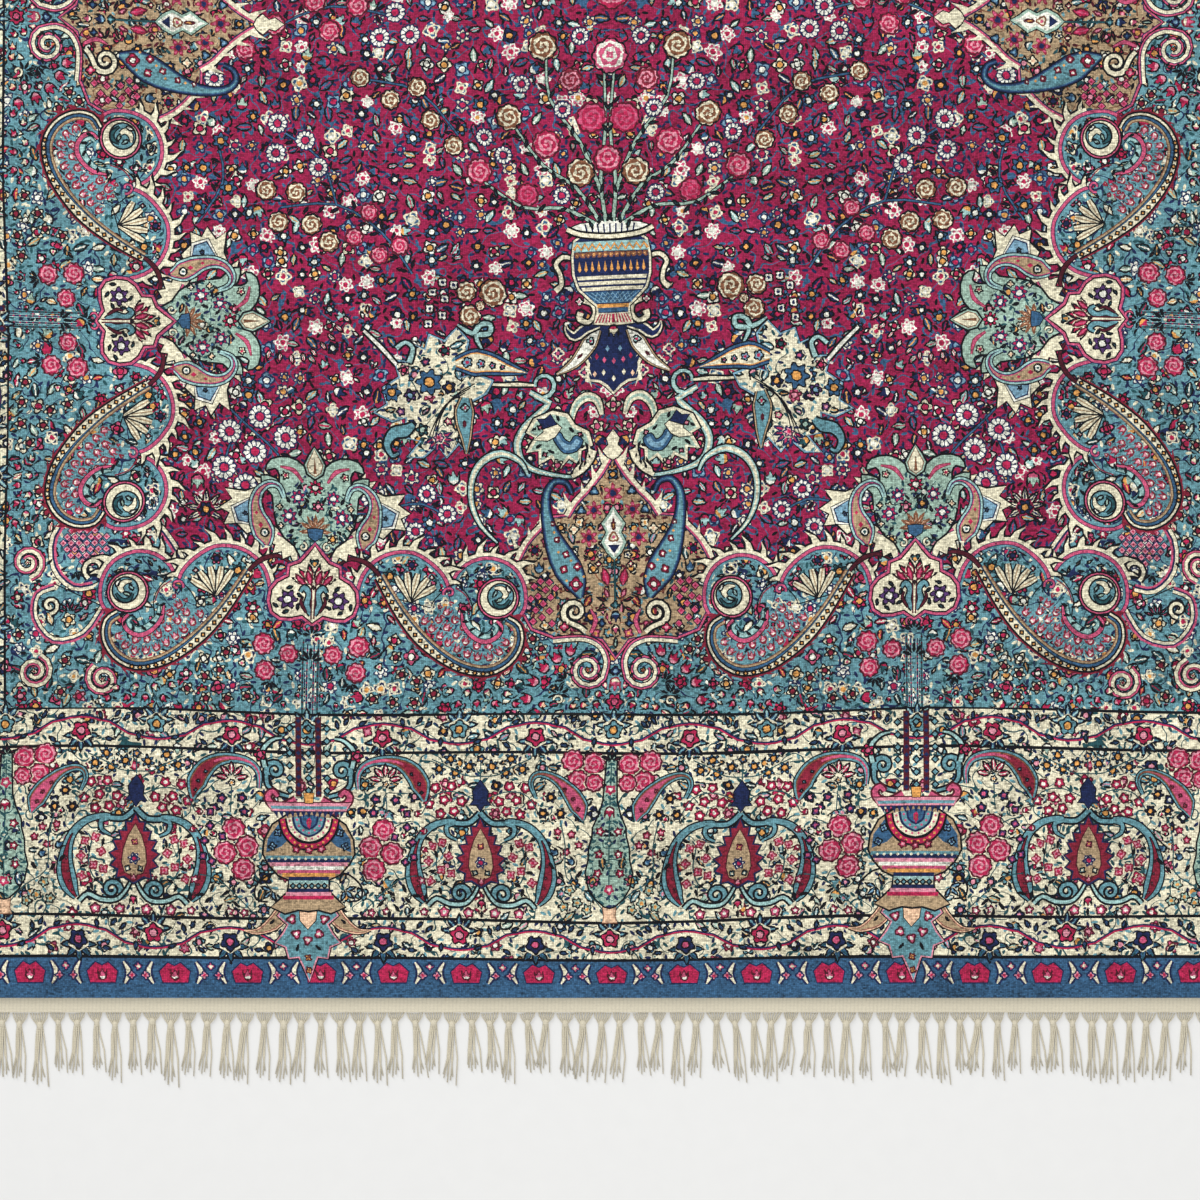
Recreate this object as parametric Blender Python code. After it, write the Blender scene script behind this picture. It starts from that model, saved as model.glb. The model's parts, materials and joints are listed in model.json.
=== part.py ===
"""A hand-knotted room rug, lying flat with the soft folds of long storage.

One woven body carries the pile and ends in a flat-woven strip at either end. Two overcast cords
protect its long sides, and the warps leave each end as a short fringe, modelled as one comb.
Metres, +Z up. The rug lies on z = 0 with the middle of its underside at the origin, its warps along Y.
"""

import math
import random

import bmesh
import bpy

# Driving sizes of the rug.
PILE_WIDTH = 1.412
PILE_LENGTH = 2.040
PILE_HEIGHT = 0.0070  # foundation and pile together
WEB_HEIGHT = 0.0024  # the foundation alone, as the flat-woven strips show it
WEB_LENGTH = 0.012
PIECE_GAP = 0.0003  # between pieces that touch

# The pile leans out over its edges, so it stands lower there.
SIDE_PILE_HEIGHT = 0.0056
END_PILE_HEIGHT = 0.0058
SIDE_SHOULDER = 0.008
END_SHOULDER = 0.003
END_CROWN = 0.012

# The overcast side cords.
CORD_WIDTH = 0.0065
CORD_HEIGHT = 0.0060
CORD_CORNER = 0.0018
CORD_CORNER_STEPS = 2

# The fringe combs.
FRINGE_HEADER = 0.004
FRINGE_HEIGHT = 0.0018
TASSEL_COUNT = 94
TASSEL_SHARE = 0.52  # of a tassel's pitch that its strands fill
TASSEL_LENGTH = 0.052
TASSEL_UNEVEN = 0.007
TASSEL_LEAN = 0.003
FRINGE_SEED = 4

# Soft ridges left by folding: where each one's middle is, which way it runs as an angle from +X,
# how far it runs and spreads either way, and how high it lifts the rug.
RIDGES = [
    # name            x       y      angle  runs   spreads  height
    ("centre_fold", -0.004, -0.560, 90.0, 0.420, 0.016, 0.0030),
    ("far_centre", 0.006, 0.520, 90.0, 0.380, 0.018, 0.0022),
    ("cross_west", -0.300, -0.545, 2.0, 0.210, 0.024, 0.0024),
    ("cross_east", 0.330, -0.520, -5.0, 0.200, 0.022, 0.0018),
    ("skirt_west", -0.320, -0.745, 1.0, 0.260, 0.026, 0.0020),
    ("skirt_east", 0.280, -0.690, -3.0, 0.240, 0.028, 0.0018),
    ("border_wave", 0.020, -0.905, 0.0, 0.480, 0.024, 0.0018),
    ("middle_fold", 0.000, 0.010, 0.0, 0.480, 0.022, 0.0026),
    ("far_west", -0.260, 0.430, 4.0, 0.260, 0.026, 0.0020),
    ("far_east", 0.300, 0.700, -2.0, 0.240, 0.026, 0.0018),
]
FLAT_BELOW = 0.00035  # a lift smaller than this is pressed flat by the rug's weight
CALM_EDGE = 0.055  # the ridges die away over this width along every edge

# How finely the woven body is divided, away from its edges.
COLUMNS = 26
ROWS = 44

WOOL_RED = (0.36, 0.025, 0.085, 1.0)
EDGE_BLUE = (0.020, 0.045, 0.110, 1.0)
COTTON = (0.72, 0.64, 0.47, 1.0)


def clear_scene():
    for obj in list(bpy.data.objects):
        bpy.data.objects.remove(obj, do_unlink=True)


def yarn(name, colour, roughness):
    material = bpy.data.materials.new(name)
    material.use_nodes = True
    shader = material.node_tree.nodes["Principled BSDF"]
    shader.inputs["Base Color"].default_value = colour
    shader.inputs["Roughness"].default_value = roughness
    shader.inputs["Metallic"].default_value = 0.0
    return material


def link(name, mesh, material):
    mesh.materials.append(material)
    obj = bpy.data.objects.new(name, mesh)
    bpy.context.scene.collection.objects.link(obj)
    return obj


def ease(t):
    t = min(1.0, max(0.0, t))
    return t * t * (3.0 - 2.0 * t)


def lift(x, y):
    """How far the folds raise the rug off the floor at (x, y)."""
    total = 0.0
    for _, x0, y0, angle, runs, spreads, height in RIDGES:
        along = (x - x0) * math.cos(math.radians(angle)) + (y - y0) * math.sin(math.radians(angle))
        across = (y - y0) * math.cos(math.radians(angle)) - (x - x0) * math.sin(math.radians(angle))
        total += height * math.exp(-((along / runs) ** 4) - (across / spreads) ** 2)
    edge = min(PILE_WIDTH / 2 - abs(x), PILE_LENGTH / 2 - abs(y))
    return max(0.0, total * ease(edge / CALM_EDGE) - FLAT_BELOW)


def thickness(x, y):
    """The rug's own thickness at (x, y): full pile, rounded shoulders, bare foundation at the ends."""
    from_side = PILE_WIDTH / 2 - abs(x)
    from_end = PILE_LENGTH / 2 - abs(y)
    if from_end <= 0.0:
        return WEB_HEIGHT
    side = SIDE_PILE_HEIGHT + (PILE_HEIGHT - SIDE_PILE_HEIGHT) * ease(from_side / SIDE_SHOULDER)
    if from_end <= END_SHOULDER:
        end = WEB_HEIGHT + (END_PILE_HEIGHT - WEB_HEIGHT) * from_end / END_SHOULDER
    else:
        shoulder = (from_end - END_SHOULDER) / (END_CROWN - END_SHOULDER)
        end = END_PILE_HEIGHT + (PILE_HEIGHT - END_PILE_HEIGHT) * ease(shoulder)
    return min(side, end)


def stations(half, edges, count):
    """Places across the rug from -half to half: the given distances in from each edge, then even steps."""
    inner = half - edges[-1]
    middle = [inner * (2 * i / count - 1) for i in range(1, count)]
    near = [-half + e for e in edges]
    far = [half - e for e in reversed(edges)]
    return near + middle + far


def woven_body(material):
    """Pile, foundation and both flat-woven strips: one closed cloth, divided as a grid."""
    half_length = PILE_LENGTH / 2 + WEB_LENGTH
    xs = stations(PILE_WIDTH / 2, [0.0, SIDE_SHOULDER], COLUMNS)
    ys = stations(
        half_length,
        [0.0, WEB_LENGTH, WEB_LENGTH + END_SHOULDER, WEB_LENGTH + END_CROWN],
        ROWS,
    )
    mesh = bpy.data.meshes.new("rug_body")
    bm = bmesh.new()
    under = [[bm.verts.new((x, y, lift(x, y))) for x in xs] for y in ys]
    over = [[bm.verts.new((x, y, lift(x, y) + thickness(x, y))) for x in xs] for y in ys]
    for j in range(len(ys) - 1):
        for i in range(len(xs) - 1):
            bm.faces.new((over[j][i], over[j][i + 1], over[j + 1][i + 1], over[j + 1][i]))
            bm.faces.new((under[j][i], under[j + 1][i], under[j + 1][i + 1], under[j][i + 1]))
    for j in range(len(ys) - 1):
        bm.faces.new((under[j][0], over[j][0], over[j + 1][0], under[j + 1][0]))
        bm.faces.new((under[j][-1], under[j + 1][-1], over[j + 1][-1], over[j][-1]))
    for i in range(len(xs) - 1):
        bm.faces.new((under[0][i], under[0][i + 1], over[0][i + 1], over[0][i]))
        bm.faces.new((under[-1][i], over[-1][i], over[-1][i + 1], under[-1][i + 1]))
    for face in bm.faces:
        face.smooth = True
    bm.to_mesh(mesh)
    bm.free()
    mesh.set_sharp_from_angle(angle=math.radians(35))
    return link("rug_body", mesh, material)


def cord_profile():
    """The cord's cross-section, flat underneath, with rounded corners: points round it, anticlockwise."""
    points = []
    half = CORD_WIDTH / 2 - CORD_CORNER
    corners = [(half, CORD_CORNER, -90), (half, CORD_HEIGHT - CORD_CORNER, 0)]
    corners += [(-half, CORD_HEIGHT - CORD_CORNER, 90), (-half, CORD_CORNER, 180)]
    for cx, cz, start in corners:
        for step in range(CORD_CORNER_STEPS + 1):
            angle = math.radians(start + 90 * step / CORD_CORNER_STEPS)
            points.append((cx + CORD_CORNER * math.cos(angle), cz + CORD_CORNER * math.sin(angle)))
    return points


def side_cord(name, side, material):
    """One overcast cord, beside the pile along its whole length."""
    mesh = bpy.data.meshes.new(name)
    bm = bmesh.new()
    near = [bm.verts.new((x, -PILE_LENGTH / 2, z)) for x, z in cord_profile()]
    cap = bm.faces.new(near)
    run = bmesh.ops.extrude_face_region(bm, geom=[cap])["geom"]
    far = [v for v in run if isinstance(v, bmesh.types.BMVert)]
    bmesh.ops.translate(bm, verts=far, vec=(0, PILE_LENGTH, 0))
    bmesh.ops.recalc_face_normals(bm, faces=bm.faces)
    for face in bm.faces:
        face.smooth = True
    bm.to_mesh(mesh)
    bm.free()
    mesh.set_sharp_from_angle(angle=math.radians(50))
    cord = link(name, mesh, material)
    cord.location.x = side * (PILE_WIDTH / 2 + PIECE_GAP + CORD_WIDTH / 2)
    return cord


def fringe_comb(name, end, material):
    """The warp ends of one end: a header against the flat-woven strip and uneven tassels out of it."""
    chance = random.Random(FRINGE_SEED + end)
    root = PILE_LENGTH / 2 + WEB_LENGTH + PIECE_GAP
    pitch = PILE_WIDTH / TASSEL_COUNT
    bm = bmesh.new()

    def corner(x, out):
        return bm.verts.new((x, end * out, 0.0))

    inner, outer, tips = [], [], []
    for i in range(TASSEL_COUNT):
        middle = (i + 0.5) * pitch - PILE_WIDTH / 2
        edges = (middle - TASSEL_SHARE * pitch / 2, middle + TASSEL_SHARE * pitch / 2)
        reach = root + FRINGE_HEADER + TASSEL_LENGTH + chance.uniform(-1, 1) * TASSEL_UNEVEN
        lean = chance.uniform(-1, 1) * TASSEL_LEAN
        inner += [corner(x, root) for x in edges]
        outer += [corner(x, root + FRINGE_HEADER) for x in edges]
        tips += [corner(x + lean, reach) for x in edges]
    for i in range(len(inner) - 1):
        bm.faces.new((inner[i], inner[i + 1], outer[i + 1], outer[i]))
    for i in range(0, len(outer), 2):
        bm.faces.new((outer[i], outer[i + 1], tips[i + 1], tips[i]))
    sheet = list(bm.faces)
    raised = bmesh.ops.extrude_face_region(bm, geom=sheet)["geom"]
    top = [v for v in raised if isinstance(v, bmesh.types.BMVert)]
    bmesh.ops.translate(bm, verts=top, vec=(0, 0, FRINGE_HEIGHT))
    bmesh.ops.recalc_face_normals(bm, faces=bm.faces)
    mesh = bpy.data.meshes.new(name)
    bm.to_mesh(mesh)
    bm.free()
    return link(name, mesh, material)


def build():
    clear_scene()
    woven_body(yarn("wool_pile", WOOL_RED, 0.9))
    overcast = yarn("overcast_wool", EDGE_BLUE, 0.85)
    side_cord("side_cord_west", -1, overcast)
    side_cord("side_cord_east", 1, overcast)
    cotton = yarn("cotton_warp", COTTON, 0.9)
    fringe_comb("fringe_near", -1, cotton)
    fringe_comb("fringe_far", 1, cotton)


build()
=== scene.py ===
import json
import math
import random

import bpy
import numpy as np
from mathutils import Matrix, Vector, kdtree
from mathutils.geometry import delaunay_2d_cdt

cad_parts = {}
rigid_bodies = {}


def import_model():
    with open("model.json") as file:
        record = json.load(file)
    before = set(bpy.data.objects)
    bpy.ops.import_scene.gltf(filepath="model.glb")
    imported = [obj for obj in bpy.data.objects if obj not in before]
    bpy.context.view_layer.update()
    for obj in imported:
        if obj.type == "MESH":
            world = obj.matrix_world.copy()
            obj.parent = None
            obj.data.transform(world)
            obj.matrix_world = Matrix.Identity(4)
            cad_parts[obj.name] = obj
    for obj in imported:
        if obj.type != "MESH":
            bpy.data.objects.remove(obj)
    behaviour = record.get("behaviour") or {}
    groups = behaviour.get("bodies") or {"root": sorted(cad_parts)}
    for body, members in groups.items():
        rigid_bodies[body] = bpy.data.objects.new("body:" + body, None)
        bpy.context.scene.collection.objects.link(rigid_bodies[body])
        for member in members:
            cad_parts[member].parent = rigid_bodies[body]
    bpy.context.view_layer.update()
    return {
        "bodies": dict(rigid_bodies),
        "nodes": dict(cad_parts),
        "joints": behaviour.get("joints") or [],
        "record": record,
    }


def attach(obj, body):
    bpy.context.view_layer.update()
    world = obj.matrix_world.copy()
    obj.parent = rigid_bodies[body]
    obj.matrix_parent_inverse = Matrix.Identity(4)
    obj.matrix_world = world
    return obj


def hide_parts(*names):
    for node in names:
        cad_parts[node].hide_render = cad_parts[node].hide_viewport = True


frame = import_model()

# %% [markdown]
# ## The rug's sizes
# The woven body is a slab with rounded shoulders that lies in soft folds. Its looks have to follow the
# same surface, so the sizes and the folds of the body are repeated here: metres for the body, and
# centimetres for the chart, because a weaver thinks of motifs in centimetres.
# %% Sizes of the body
PILE_WIDTH = 1.412
PILE_LENGTH = 2.040
PILE_HEIGHT = 0.0070
WEB_HEIGHT = 0.0024
WEB_LENGTH = 0.012
PIECE_GAP = 0.0003
SIDE_PILE_HEIGHT = 0.0056
END_PILE_HEIGHT = 0.0058
SIDE_SHOULDER = 0.008
END_CROWN = 0.012
CORD_WIDTH = 0.0065
CORD_HEIGHT = 0.0060
TASSEL_LENGTH = 0.052

RIDGES = [
    # name            x       y      angle  runs   spreads  height
    ("centre_fold", -0.004, -0.560, 90.0, 0.420, 0.016, 0.0030),
    ("far_centre", 0.006, 0.520, 90.0, 0.380, 0.018, 0.0022),
    ("cross_west", -0.300, -0.545, 2.0, 0.210, 0.024, 0.0024),
    ("cross_east", 0.330, -0.520, -5.0, 0.200, 0.022, 0.0018),
    ("skirt_west", -0.320, -0.745, 1.0, 0.260, 0.026, 0.0020),
    ("skirt_east", 0.280, -0.690, -3.0, 0.240, 0.028, 0.0018),
    ("border_wave", 0.020, -0.905, 0.0, 0.480, 0.024, 0.0018),
    ("middle_fold", 0.000, 0.010, 0.0, 0.480, 0.022, 0.0026),
    ("far_west", -0.260, 0.430, 4.0, 0.260, 0.026, 0.0020),
    ("far_east", 0.300, 0.700, -2.0, 0.240, 0.026, 0.0018),
]
FLAT_BELOW = 0.00035
CALM_EDGE = 0.055


def ease(t):
    """A share from 0 to 1 that starts and ends slowly."""
    t = np.clip(t, 0.0, 1.0)
    return t * t * (3.0 - 2.0 * t)


def lift(x, y):
    """How far the folds raise the rug off the floor, for arrays of places in metres."""
    total = np.zeros_like(x)
    for _, x0, y0, angle, runs, spreads, height in RIDGES:
        turn = math.radians(angle)
        along = (x - x0) * math.cos(turn) + (y - y0) * math.sin(turn)
        across = (y - y0) * math.cos(turn) - (x - x0) * math.sin(turn)
        total += height * np.exp(-((along / runs) ** 4) - (across / spreads) ** 2)
    edge = np.minimum(PILE_WIDTH / 2 - np.abs(x), PILE_LENGTH / 2 - np.abs(y))
    return np.maximum(0.0, total * ease(edge / CALM_EDGE) - FLAT_BELOW)


def pile_top(x, y):
    """Height of the pile's tips: full height inside, rounded shoulders along the edges."""
    side = ease((PILE_WIDTH / 2 - np.abs(x)) / SIDE_SHOULDER)
    end = ease((PILE_LENGTH / 2 - np.abs(y)) / END_CROWN)
    by_side = SIDE_PILE_HEIGHT + (PILE_HEIGHT - SIDE_PILE_HEIGHT) * side
    by_end = END_PILE_HEIGHT + (PILE_HEIGHT - END_PILE_HEIGHT) * end
    return lift(x, y) + np.minimum(by_side, by_end)


highest = lift(np.array([RIDGES[0][1]]), np.array([RIDGES[0][2]]))[0]
print("folds raise it", round(float(highest) * 1000, 2), "mm at most")

# %% [markdown]
# ## The bands of the design
# The red field has a frame of four bands: a narrow guard, the wide main border, a second guard and a
# plain blue band. Their widths are added up once here, so that every motif can say how far out from the
# field it lies. Inside its edge, the field is teal to the depth of the palmettes' arches.
# %% Where the bands run, in centimetres from the rug's middle
CM_PER_METRE = 100
HALF_WIDTH = PILE_WIDTH / 2 * CM_PER_METRE
HALF_LENGTH = PILE_LENGTH / 2 * CM_PER_METRE
FIELD_X, FIELD_Y = 48.45, 79.2
TEAL_DEPTH = 10.4
INNER_GUARD, MAIN_BORDER, OUTER_GUARD, BLUE_BAND = 3.05, 13.4, 3.15, 2.4
RINGS = [0.0]
for width in (INNER_GUARD, MAIN_BORDER, OUTER_GUARD, BLUE_BAND):
    RINGS.append(RINGS[-1] + width)
print("bands start", [round(out, 2) for out in RINGS], "cm out from the field")

# %% [markdown]
# ## The yarns
# A workshop dyes its wool in a fixed set of colours, and the whole design is shared out among them:
# madder and cochineal reds, indigo blues, a few greens and golds, and the undyed creams. Each yarn has a
# name and a number here. Colours are given as a dyer would match them, by red, green and blue out of 255,
# and turned into light values for the shader.
# %% Yarn numbers and colours
YARNS = {
    "ink": (10, 12, 20),
    "navy": (26, 38, 78),
    "blue": (54, 92, 126),
    "sky": (122, 162, 184),
    "teal": (100, 148, 158),
    "aqua": (156, 194, 190),
    "sage": (156, 184, 168),
    "pine": (36, 78, 84),
    "cream": (228, 221, 192),
    "ivory": (234, 234, 220),
    "sand": (172, 148, 116),
    "gold": (218, 156, 84),
    "peach": (232, 192, 158),
    "brown": (128, 82, 58),
    "wine": (78, 22, 36),
    "brick": (132, 34, 54),
    "red": (150, 30, 72),
    "crimson": (178, 36, 78),
    "rose": (196, 84, 118),
    "pink": (216, 142, 158),
    "plum": (82, 52, 104),
}
NUMBER = {name: i for i, name in enumerate(YARNS)}
# Five grounds are strewn with small flowers, which the wool's own recipe draws. Their numbers come after
# those of the plain yarns.
FIRST_MEADOW = 24
MEADOWS = {"red meadow": "red", "teal meadow": "teal", "cream meadow": "cream", "sage meadow": "sage",
           "sand meadow": "sand"}
NUMBER.update({name: FIRST_MEADOW + i for i, name in enumerate(MEADOWS)})
RAMP_STOPS = 32


def light_value(level):
    """The light value of one part of a colour, given out of 255."""
    share = level / 255
    return share / 12.92 if share <= 0.04045 else ((share + 0.055) / 1.055) ** 2.4


print(len(YARNS), "yarns")

# %% [markdown]
# ## Lines for the chart
# Persian motifs are built of a few kinds of line: smooth flowing stems, arcs and volutes. A Catmull-Rom
# curve runs through a handful of given points, so each outline below needs only the points that
# give it its shape. An even walk along a line places beads, thorns and leaves on it.
# %% Smooth lines, volutes and even steps
def flow(points, steps=3, closed=False):
    """A smooth line through the points, with some steps between each pair."""
    count = len(points)
    spans = count if closed else count - 1
    line = []
    for i in range(spans):
        if closed:
            a, b, c, d = (points[(i + k) % count] for k in (-1, 0, 1, 2))
        else:
            a, b, c, d = (points[min(max(i + k, 0), count - 1)] for k in (-1, 0, 1, 2))
        for k in range(steps):
            t = k / steps
            line.append(tuple(
                0.5 * (2 * q + (r - p) * t + (2 * p - 5 * q + 4 * r - s) * t**2
                       + (3 * q - p - 3 * r + s) * t**3)
                for p, q, r, s in zip(a, b, c, d)
            ))
    line.append(line[0] if closed else tuple(points[-1]))
    return line


def volute(x, y, start, end, first, turns, steps=12):
    """A spiral about (x, y), its radius from start to end, from an angle in degrees over so many turns."""
    count = max(3, round(abs(turns) * steps))
    line = []
    for i in range(count + 1):
        t = i / count
        radius = start + (end - start) * t
        angle = math.radians(first + 360 * turns * t)
        line.append((x + radius * math.cos(angle), y + radius * math.sin(angle)))
    return line


def oval(x, y, across, up, count=12, first=0.0):
    """A closed ring of corners round (x, y)."""
    turns = [math.radians(first) + 2 * math.pi * i / count for i in range(count)]
    return [(x + across * math.cos(a), y + up * math.sin(a)) for a in turns]


def mirrored(half):
    """A closed outline from its right half, given from top to bottom."""
    return half + [(-x, y) for x, y in reversed(half) if abs(x) > 1e-6]


def spread(amounts, t):
    """A number, or the value at share t along a row of numbers."""
    if isinstance(amounts, (int, float)):
        return amounts
    place = t * (len(amounts) - 1)
    low = min(int(place), len(amounts) - 2)
    return amounts[low] + (amounts[low + 1] - amounts[low]) * (place - low)


def shares(line):
    """How far along the line each of its points is, from 0 to 1."""
    walked = [0.0]
    for a, b in zip(line, line[1:]):
        walked.append(walked[-1] + math.dist(a, b))
    return [w / (walked[-1] or 1) for w in walked]


def shifted(line, amounts):
    """The line moved to its left by an amount that may change along it."""
    looped = math.dist(line[0], line[-1]) < 1e-6
    last = len(line) - 1
    out = []
    for i, t in enumerate(shares(line)):
        before = line[i - 1] if i else line[last - 1] if looped else line[0]
        after = line[i + 1] if i < last else line[1] if looped else line[last]
        dx, dy = after[0] - before[0], after[1] - before[1]
        size = math.hypot(dx, dy) or 1.0
        move = spread(amounts, t)
        out.append((line[i][0] - dy / size * move, line[i][1] + dx / size * move))
    return out


def walk(line, pitch, start=0.5):
    """Places at an even pitch along a line, with the line's heading in radians at each."""
    total = sum(math.dist(a, b) for a, b in zip(line, line[1:]))
    count = max(1, round(total / pitch))
    step, spots, walked, wanted = total / count, [], 0.0, start
    for a, b in zip(line, line[1:]):
        size = math.dist(a, b)
        while wanted < count and size > 0 and walked + size >= wanted * step - 1e-9:
            t = (wanted * step - walked) / size
            heading = math.atan2(b[1] - a[1], b[0] - a[0])
            spots.append((a[0] + (b[0] - a[0]) * t, a[1] + (b[1] - a[1]) * t, heading))
            wanted += 1
        walked += size
    return spots


print("a volute of two turns has", len(volute(0, 0, 1, 0.2, 0, 2)), "points")

# %% [markdown]
# ## The chart
# The chart is a list of areas, each of one yarn, in the order in which they are drawn, so a later area
# covers an earlier one. Small flowers come so many to the hand that drawing their petals as areas would
# cost a million triangles. Each is one small cell instead, which carries where it is and what it shows,
# and the wool material draws its petals. A motif is a small chart of its own, drawn once about its own
# origin, and put down wherever it repeats, turned or mirrored.
# %% Areas, bands and blooms
# Each form of bloom has a number, and its usual petals and depth of cut.
FORMS = {"flower": (1, 5, 0.3), "daisy": (2, 12, 0.1), "rose": (3, 9, 0.1), "leaf": (4, 2, 0.4),
         "bud": (5, 3, 0.3)}
OUTLINE = 0.17
BARB_RHYTHM = (1.35, 0.8, 1.1)


def area_of(corners):
    """The area inside a ring of corners, negative if it runs clockwise."""
    ring = zip(corners, corners[1:] + corners[:1])
    return sum(a[0] * b[1] - b[0] * a[1] for a, b in ring) / 2


class Chart:
    """A weaver's chart: areas of yarn in the order in which they are drawn."""

    def __init__(self):
        self.areas = []

    def fill(self, corners, yarn, bloom=None, cuts=None):
        """An area of yarn. cuts are the sides along which the cloth is cut, if not all of them."""
        self.areas.append((corners, NUMBER[yarn] if bloom is None else None, bloom, cuts))

    def patch(self, corners, *layers):
        """One closed shape in nested layers: (yarn, how far it grows past the outline)."""
        ring = list(corners)
        if math.dist(ring[0], ring[-1]) < 1e-6:
            ring.pop()
        if area_of(ring) < 0:
            ring.reverse()
        for yarn, grow in layers:
            self.fill(shifted(ring + ring[:1], -grow)[:-1], yarn)

    def band(self, line, low, high, yarn):
        """A strip between two shifts of a line, as one small quad for each step, cut only along its sides."""
        left, right = shifted(line, high), shifted(line, low)
        last = len(line) - 2
        for i in range(last + 1):
            cuts = [0, 2] + [1] * (i == last) + [3] * (i == 0)
            self.fill([left[i], left[i + 1], right[i + 1], right[i]], yarn, cuts=cuts)

    def bands(self, line, *rows):
        """Several strips along one line, each a yarn and its two shifts."""
        for yarn, low, high in rows:
            self.band(line, low, high, yarn)

    def stem(self, line, half, yarn, rim=None, edge=OUTLINE):
        """A line of yarn, which may swell and taper, with an outline where rim is given."""
        if rim:
            wide = half + edge if isinstance(half, (int, float)) else tuple(h + edge for h in half)
            self.stem(line, wide, rim)
        low = -half if isinstance(half, (int, float)) else tuple(-h for h in half)
        self.band(line, low, half, yarn)

    def boteh(self, spine, wide, *layers):
        """A teardrop along a bent spine, in nested layers: (yarn, inset)."""
        for yarn, inset in layers:
            self.stem(spine, tuple(max(w - inset, 0.0) for w in wide), yarn)

    def thorns(self, line, reach, pitch, yarn, base=0.0, grow=0.0, lean=0.25, broad=0.24):
        """Barbs on the left of a line, leaning along it in an uneven rhythm; grow widens them all round."""
        for i, (x, y, a) in enumerate(walk(line, pitch)):
            c, s = math.cos(a), math.sin(a)
            tall, wide = reach * BARB_RHYTHM[i % 3], broad * BARB_RHYTHM[i % 3]
            shape = [(-wide - grow, base - 0.15), (wide + grow, base - 0.15)]
            shape += [(wide * 0.9 + lean * 0.5 + grow, base + tall * 0.45)]
            shape += [(lean * 1.6 * BARB_RHYTHM[i % 3] + wide, base + tall + grow * 2),
                      (lean * 0.2 - grow, base + tall * 0.5)]
            self.fill([(x + u * c - v * s, y + u * s + v * c) for u, v in shape], yarn)

    def flame(self, line, width=0.45, reach=0.5, pitch=1.3, yarn="cream", rim="ink"):
        """A thorny band on the left of a line, as Persian leaves and arches have."""
        for colour, grow in ((rim, OUTLINE), (yarn, 0.0)):
            self.thorns(line, reach, pitch, colour, width, grow)
            self.band(line, -grow, width + grow, colour)

    def beads(self, line, pitch, size, yarn, rim=None):
        """Small diamonds at an even pitch along a line, with an outline where rim is given."""
        for x, y, a in walk(line, pitch):
            turn = math.degrees(a)
            if rim:
                self.fill(oval(x, y, size + OUTLINE, size + OUTLINE, 4, turn), rim)
            self.fill(oval(x, y, size, size, 4, turn), yarn)

    def bloom(self, x, y, size, yarns, form="flower", depth=None, turn=0.0, petals=None):
        """A small flower, daisy, rose, leaf or bud: yarns are its petals, heart and outline."""
        number, usual_petals, usual_depth = FORMS[form]
        depth = usual_depth if depth is None else depth
        a = math.radians(turn)
        along = (size * math.cos(a), size * math.sin(a))
        up = (-along[1], along[0])
        if form == "leaf":
            local = [(-1, 0), (-0.5, -depth), (0.5, -depth), (1, 0), (0.5, depth), (-0.5, depth)]
        elif size < 0.3:
            local = [(-0.9, -0.9), (0.9, -0.9), (0.9, 0.9), (-0.9, 0.9)]
        else:
            local = oval(0, 0, 1.1, 1.1, 6)
        corners = [(x + u * along[0] + v * up[0], y + u * along[1] + v * up[1]) for u, v in local]
        look = (number, petals or usual_petals, depth, *(NUMBER[name] for name in yarns.split()))
        self.fill(corners, None, ((x, y), along, up, look))

    def put(self, motif, x=0.0, y=0.0, turn=0.0, size=1.0, flip=False):
        """Puts another chart down here, mirrored left to right first if flip is set, then turned."""
        c, s = size * math.cos(math.radians(turn)), size * math.sin(math.radians(turn))
        side = -1 if flip else 1

        def swing(p):
            """Scale, mirror and turn a step."""
            return (side * p[0] * c - p[1] * s, side * p[0] * s + p[1] * c)

        def move(p):
            """Bring a corner to its new place."""
            u, v = swing(p)
            return (u + x, v + y)

        for corners, yarn, bloom, cuts in list(motif.areas):
            if bloom:
                centre, along, up, look = bloom
                bloom = (move(centre), swing(along), swing(up), look)
            self.areas.append(([move(p) for p in corners], yarn, bloom, cuts))

    def both(self, half, x=0.0, y=0.0, turn=0.0):
        """Puts the right half of a motif down with its mirror image."""
        self.put(half, x, y, turn)
        self.put(half, x, y, turn, flip=True)


trial = Chart()
trial.flame(flow([(0, 0), (3, 1), (6, 0)]))
print("a short thorny band takes", len(trial.areas), "areas")

# %% [markdown]
# ## The vase palmette
# The rug's main figure is a palmette: a lotus in a sea-green crown with two hanging teardrops (botehs) at
# its sides, over a cream cartouche, with a stalk that runs down through the border line. It stands with
# its foot on the field's edge and points inwards. Each is drawn once, as its right half, and its mirror
# image is added. Heights here are in centimetres above the edge of the field.
# %% Roses and small sprays that many motifs use
BRIGHT_ROSE = "pink crimson wine"
CREAM_ROSE = "cream brown ink"
DAISY = "ivory crimson navy"
CREAM_FIVE = "cream brick ink"


def fan(chart, x, y, reach, low, high, count, yarns, size, depth=0.34):
    """Leaves or petals that spread from one point."""
    for i in range(count):
        turn = low + (high - low) * i / (count - 1)
        a = math.radians(turn)
        chart.bloom(x + reach * math.cos(a), y + reach * math.sin(a), size, yarns, "leaf", depth, turn)


def shell(chart, x, y, reach, low, high, yarn="cream"):
    """An opened fan: long petals side by side, each with its dark edge and rib."""
    for i in range(5):
        turn = math.radians(low + (high - low) * i / 4)
        tip = (x + reach * math.cos(turn), y + reach * math.sin(turn))
        chart.stem([(x, y), (x + 0.72 * (tip[0] - x), y + 0.72 * (tip[1] - y)), tip], (0.06, 0.3, 0.16),
                   yarn, "ink", 0.12)
        chart.stem([(x, y), tip], (0.03, 0.07), "sand")


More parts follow.
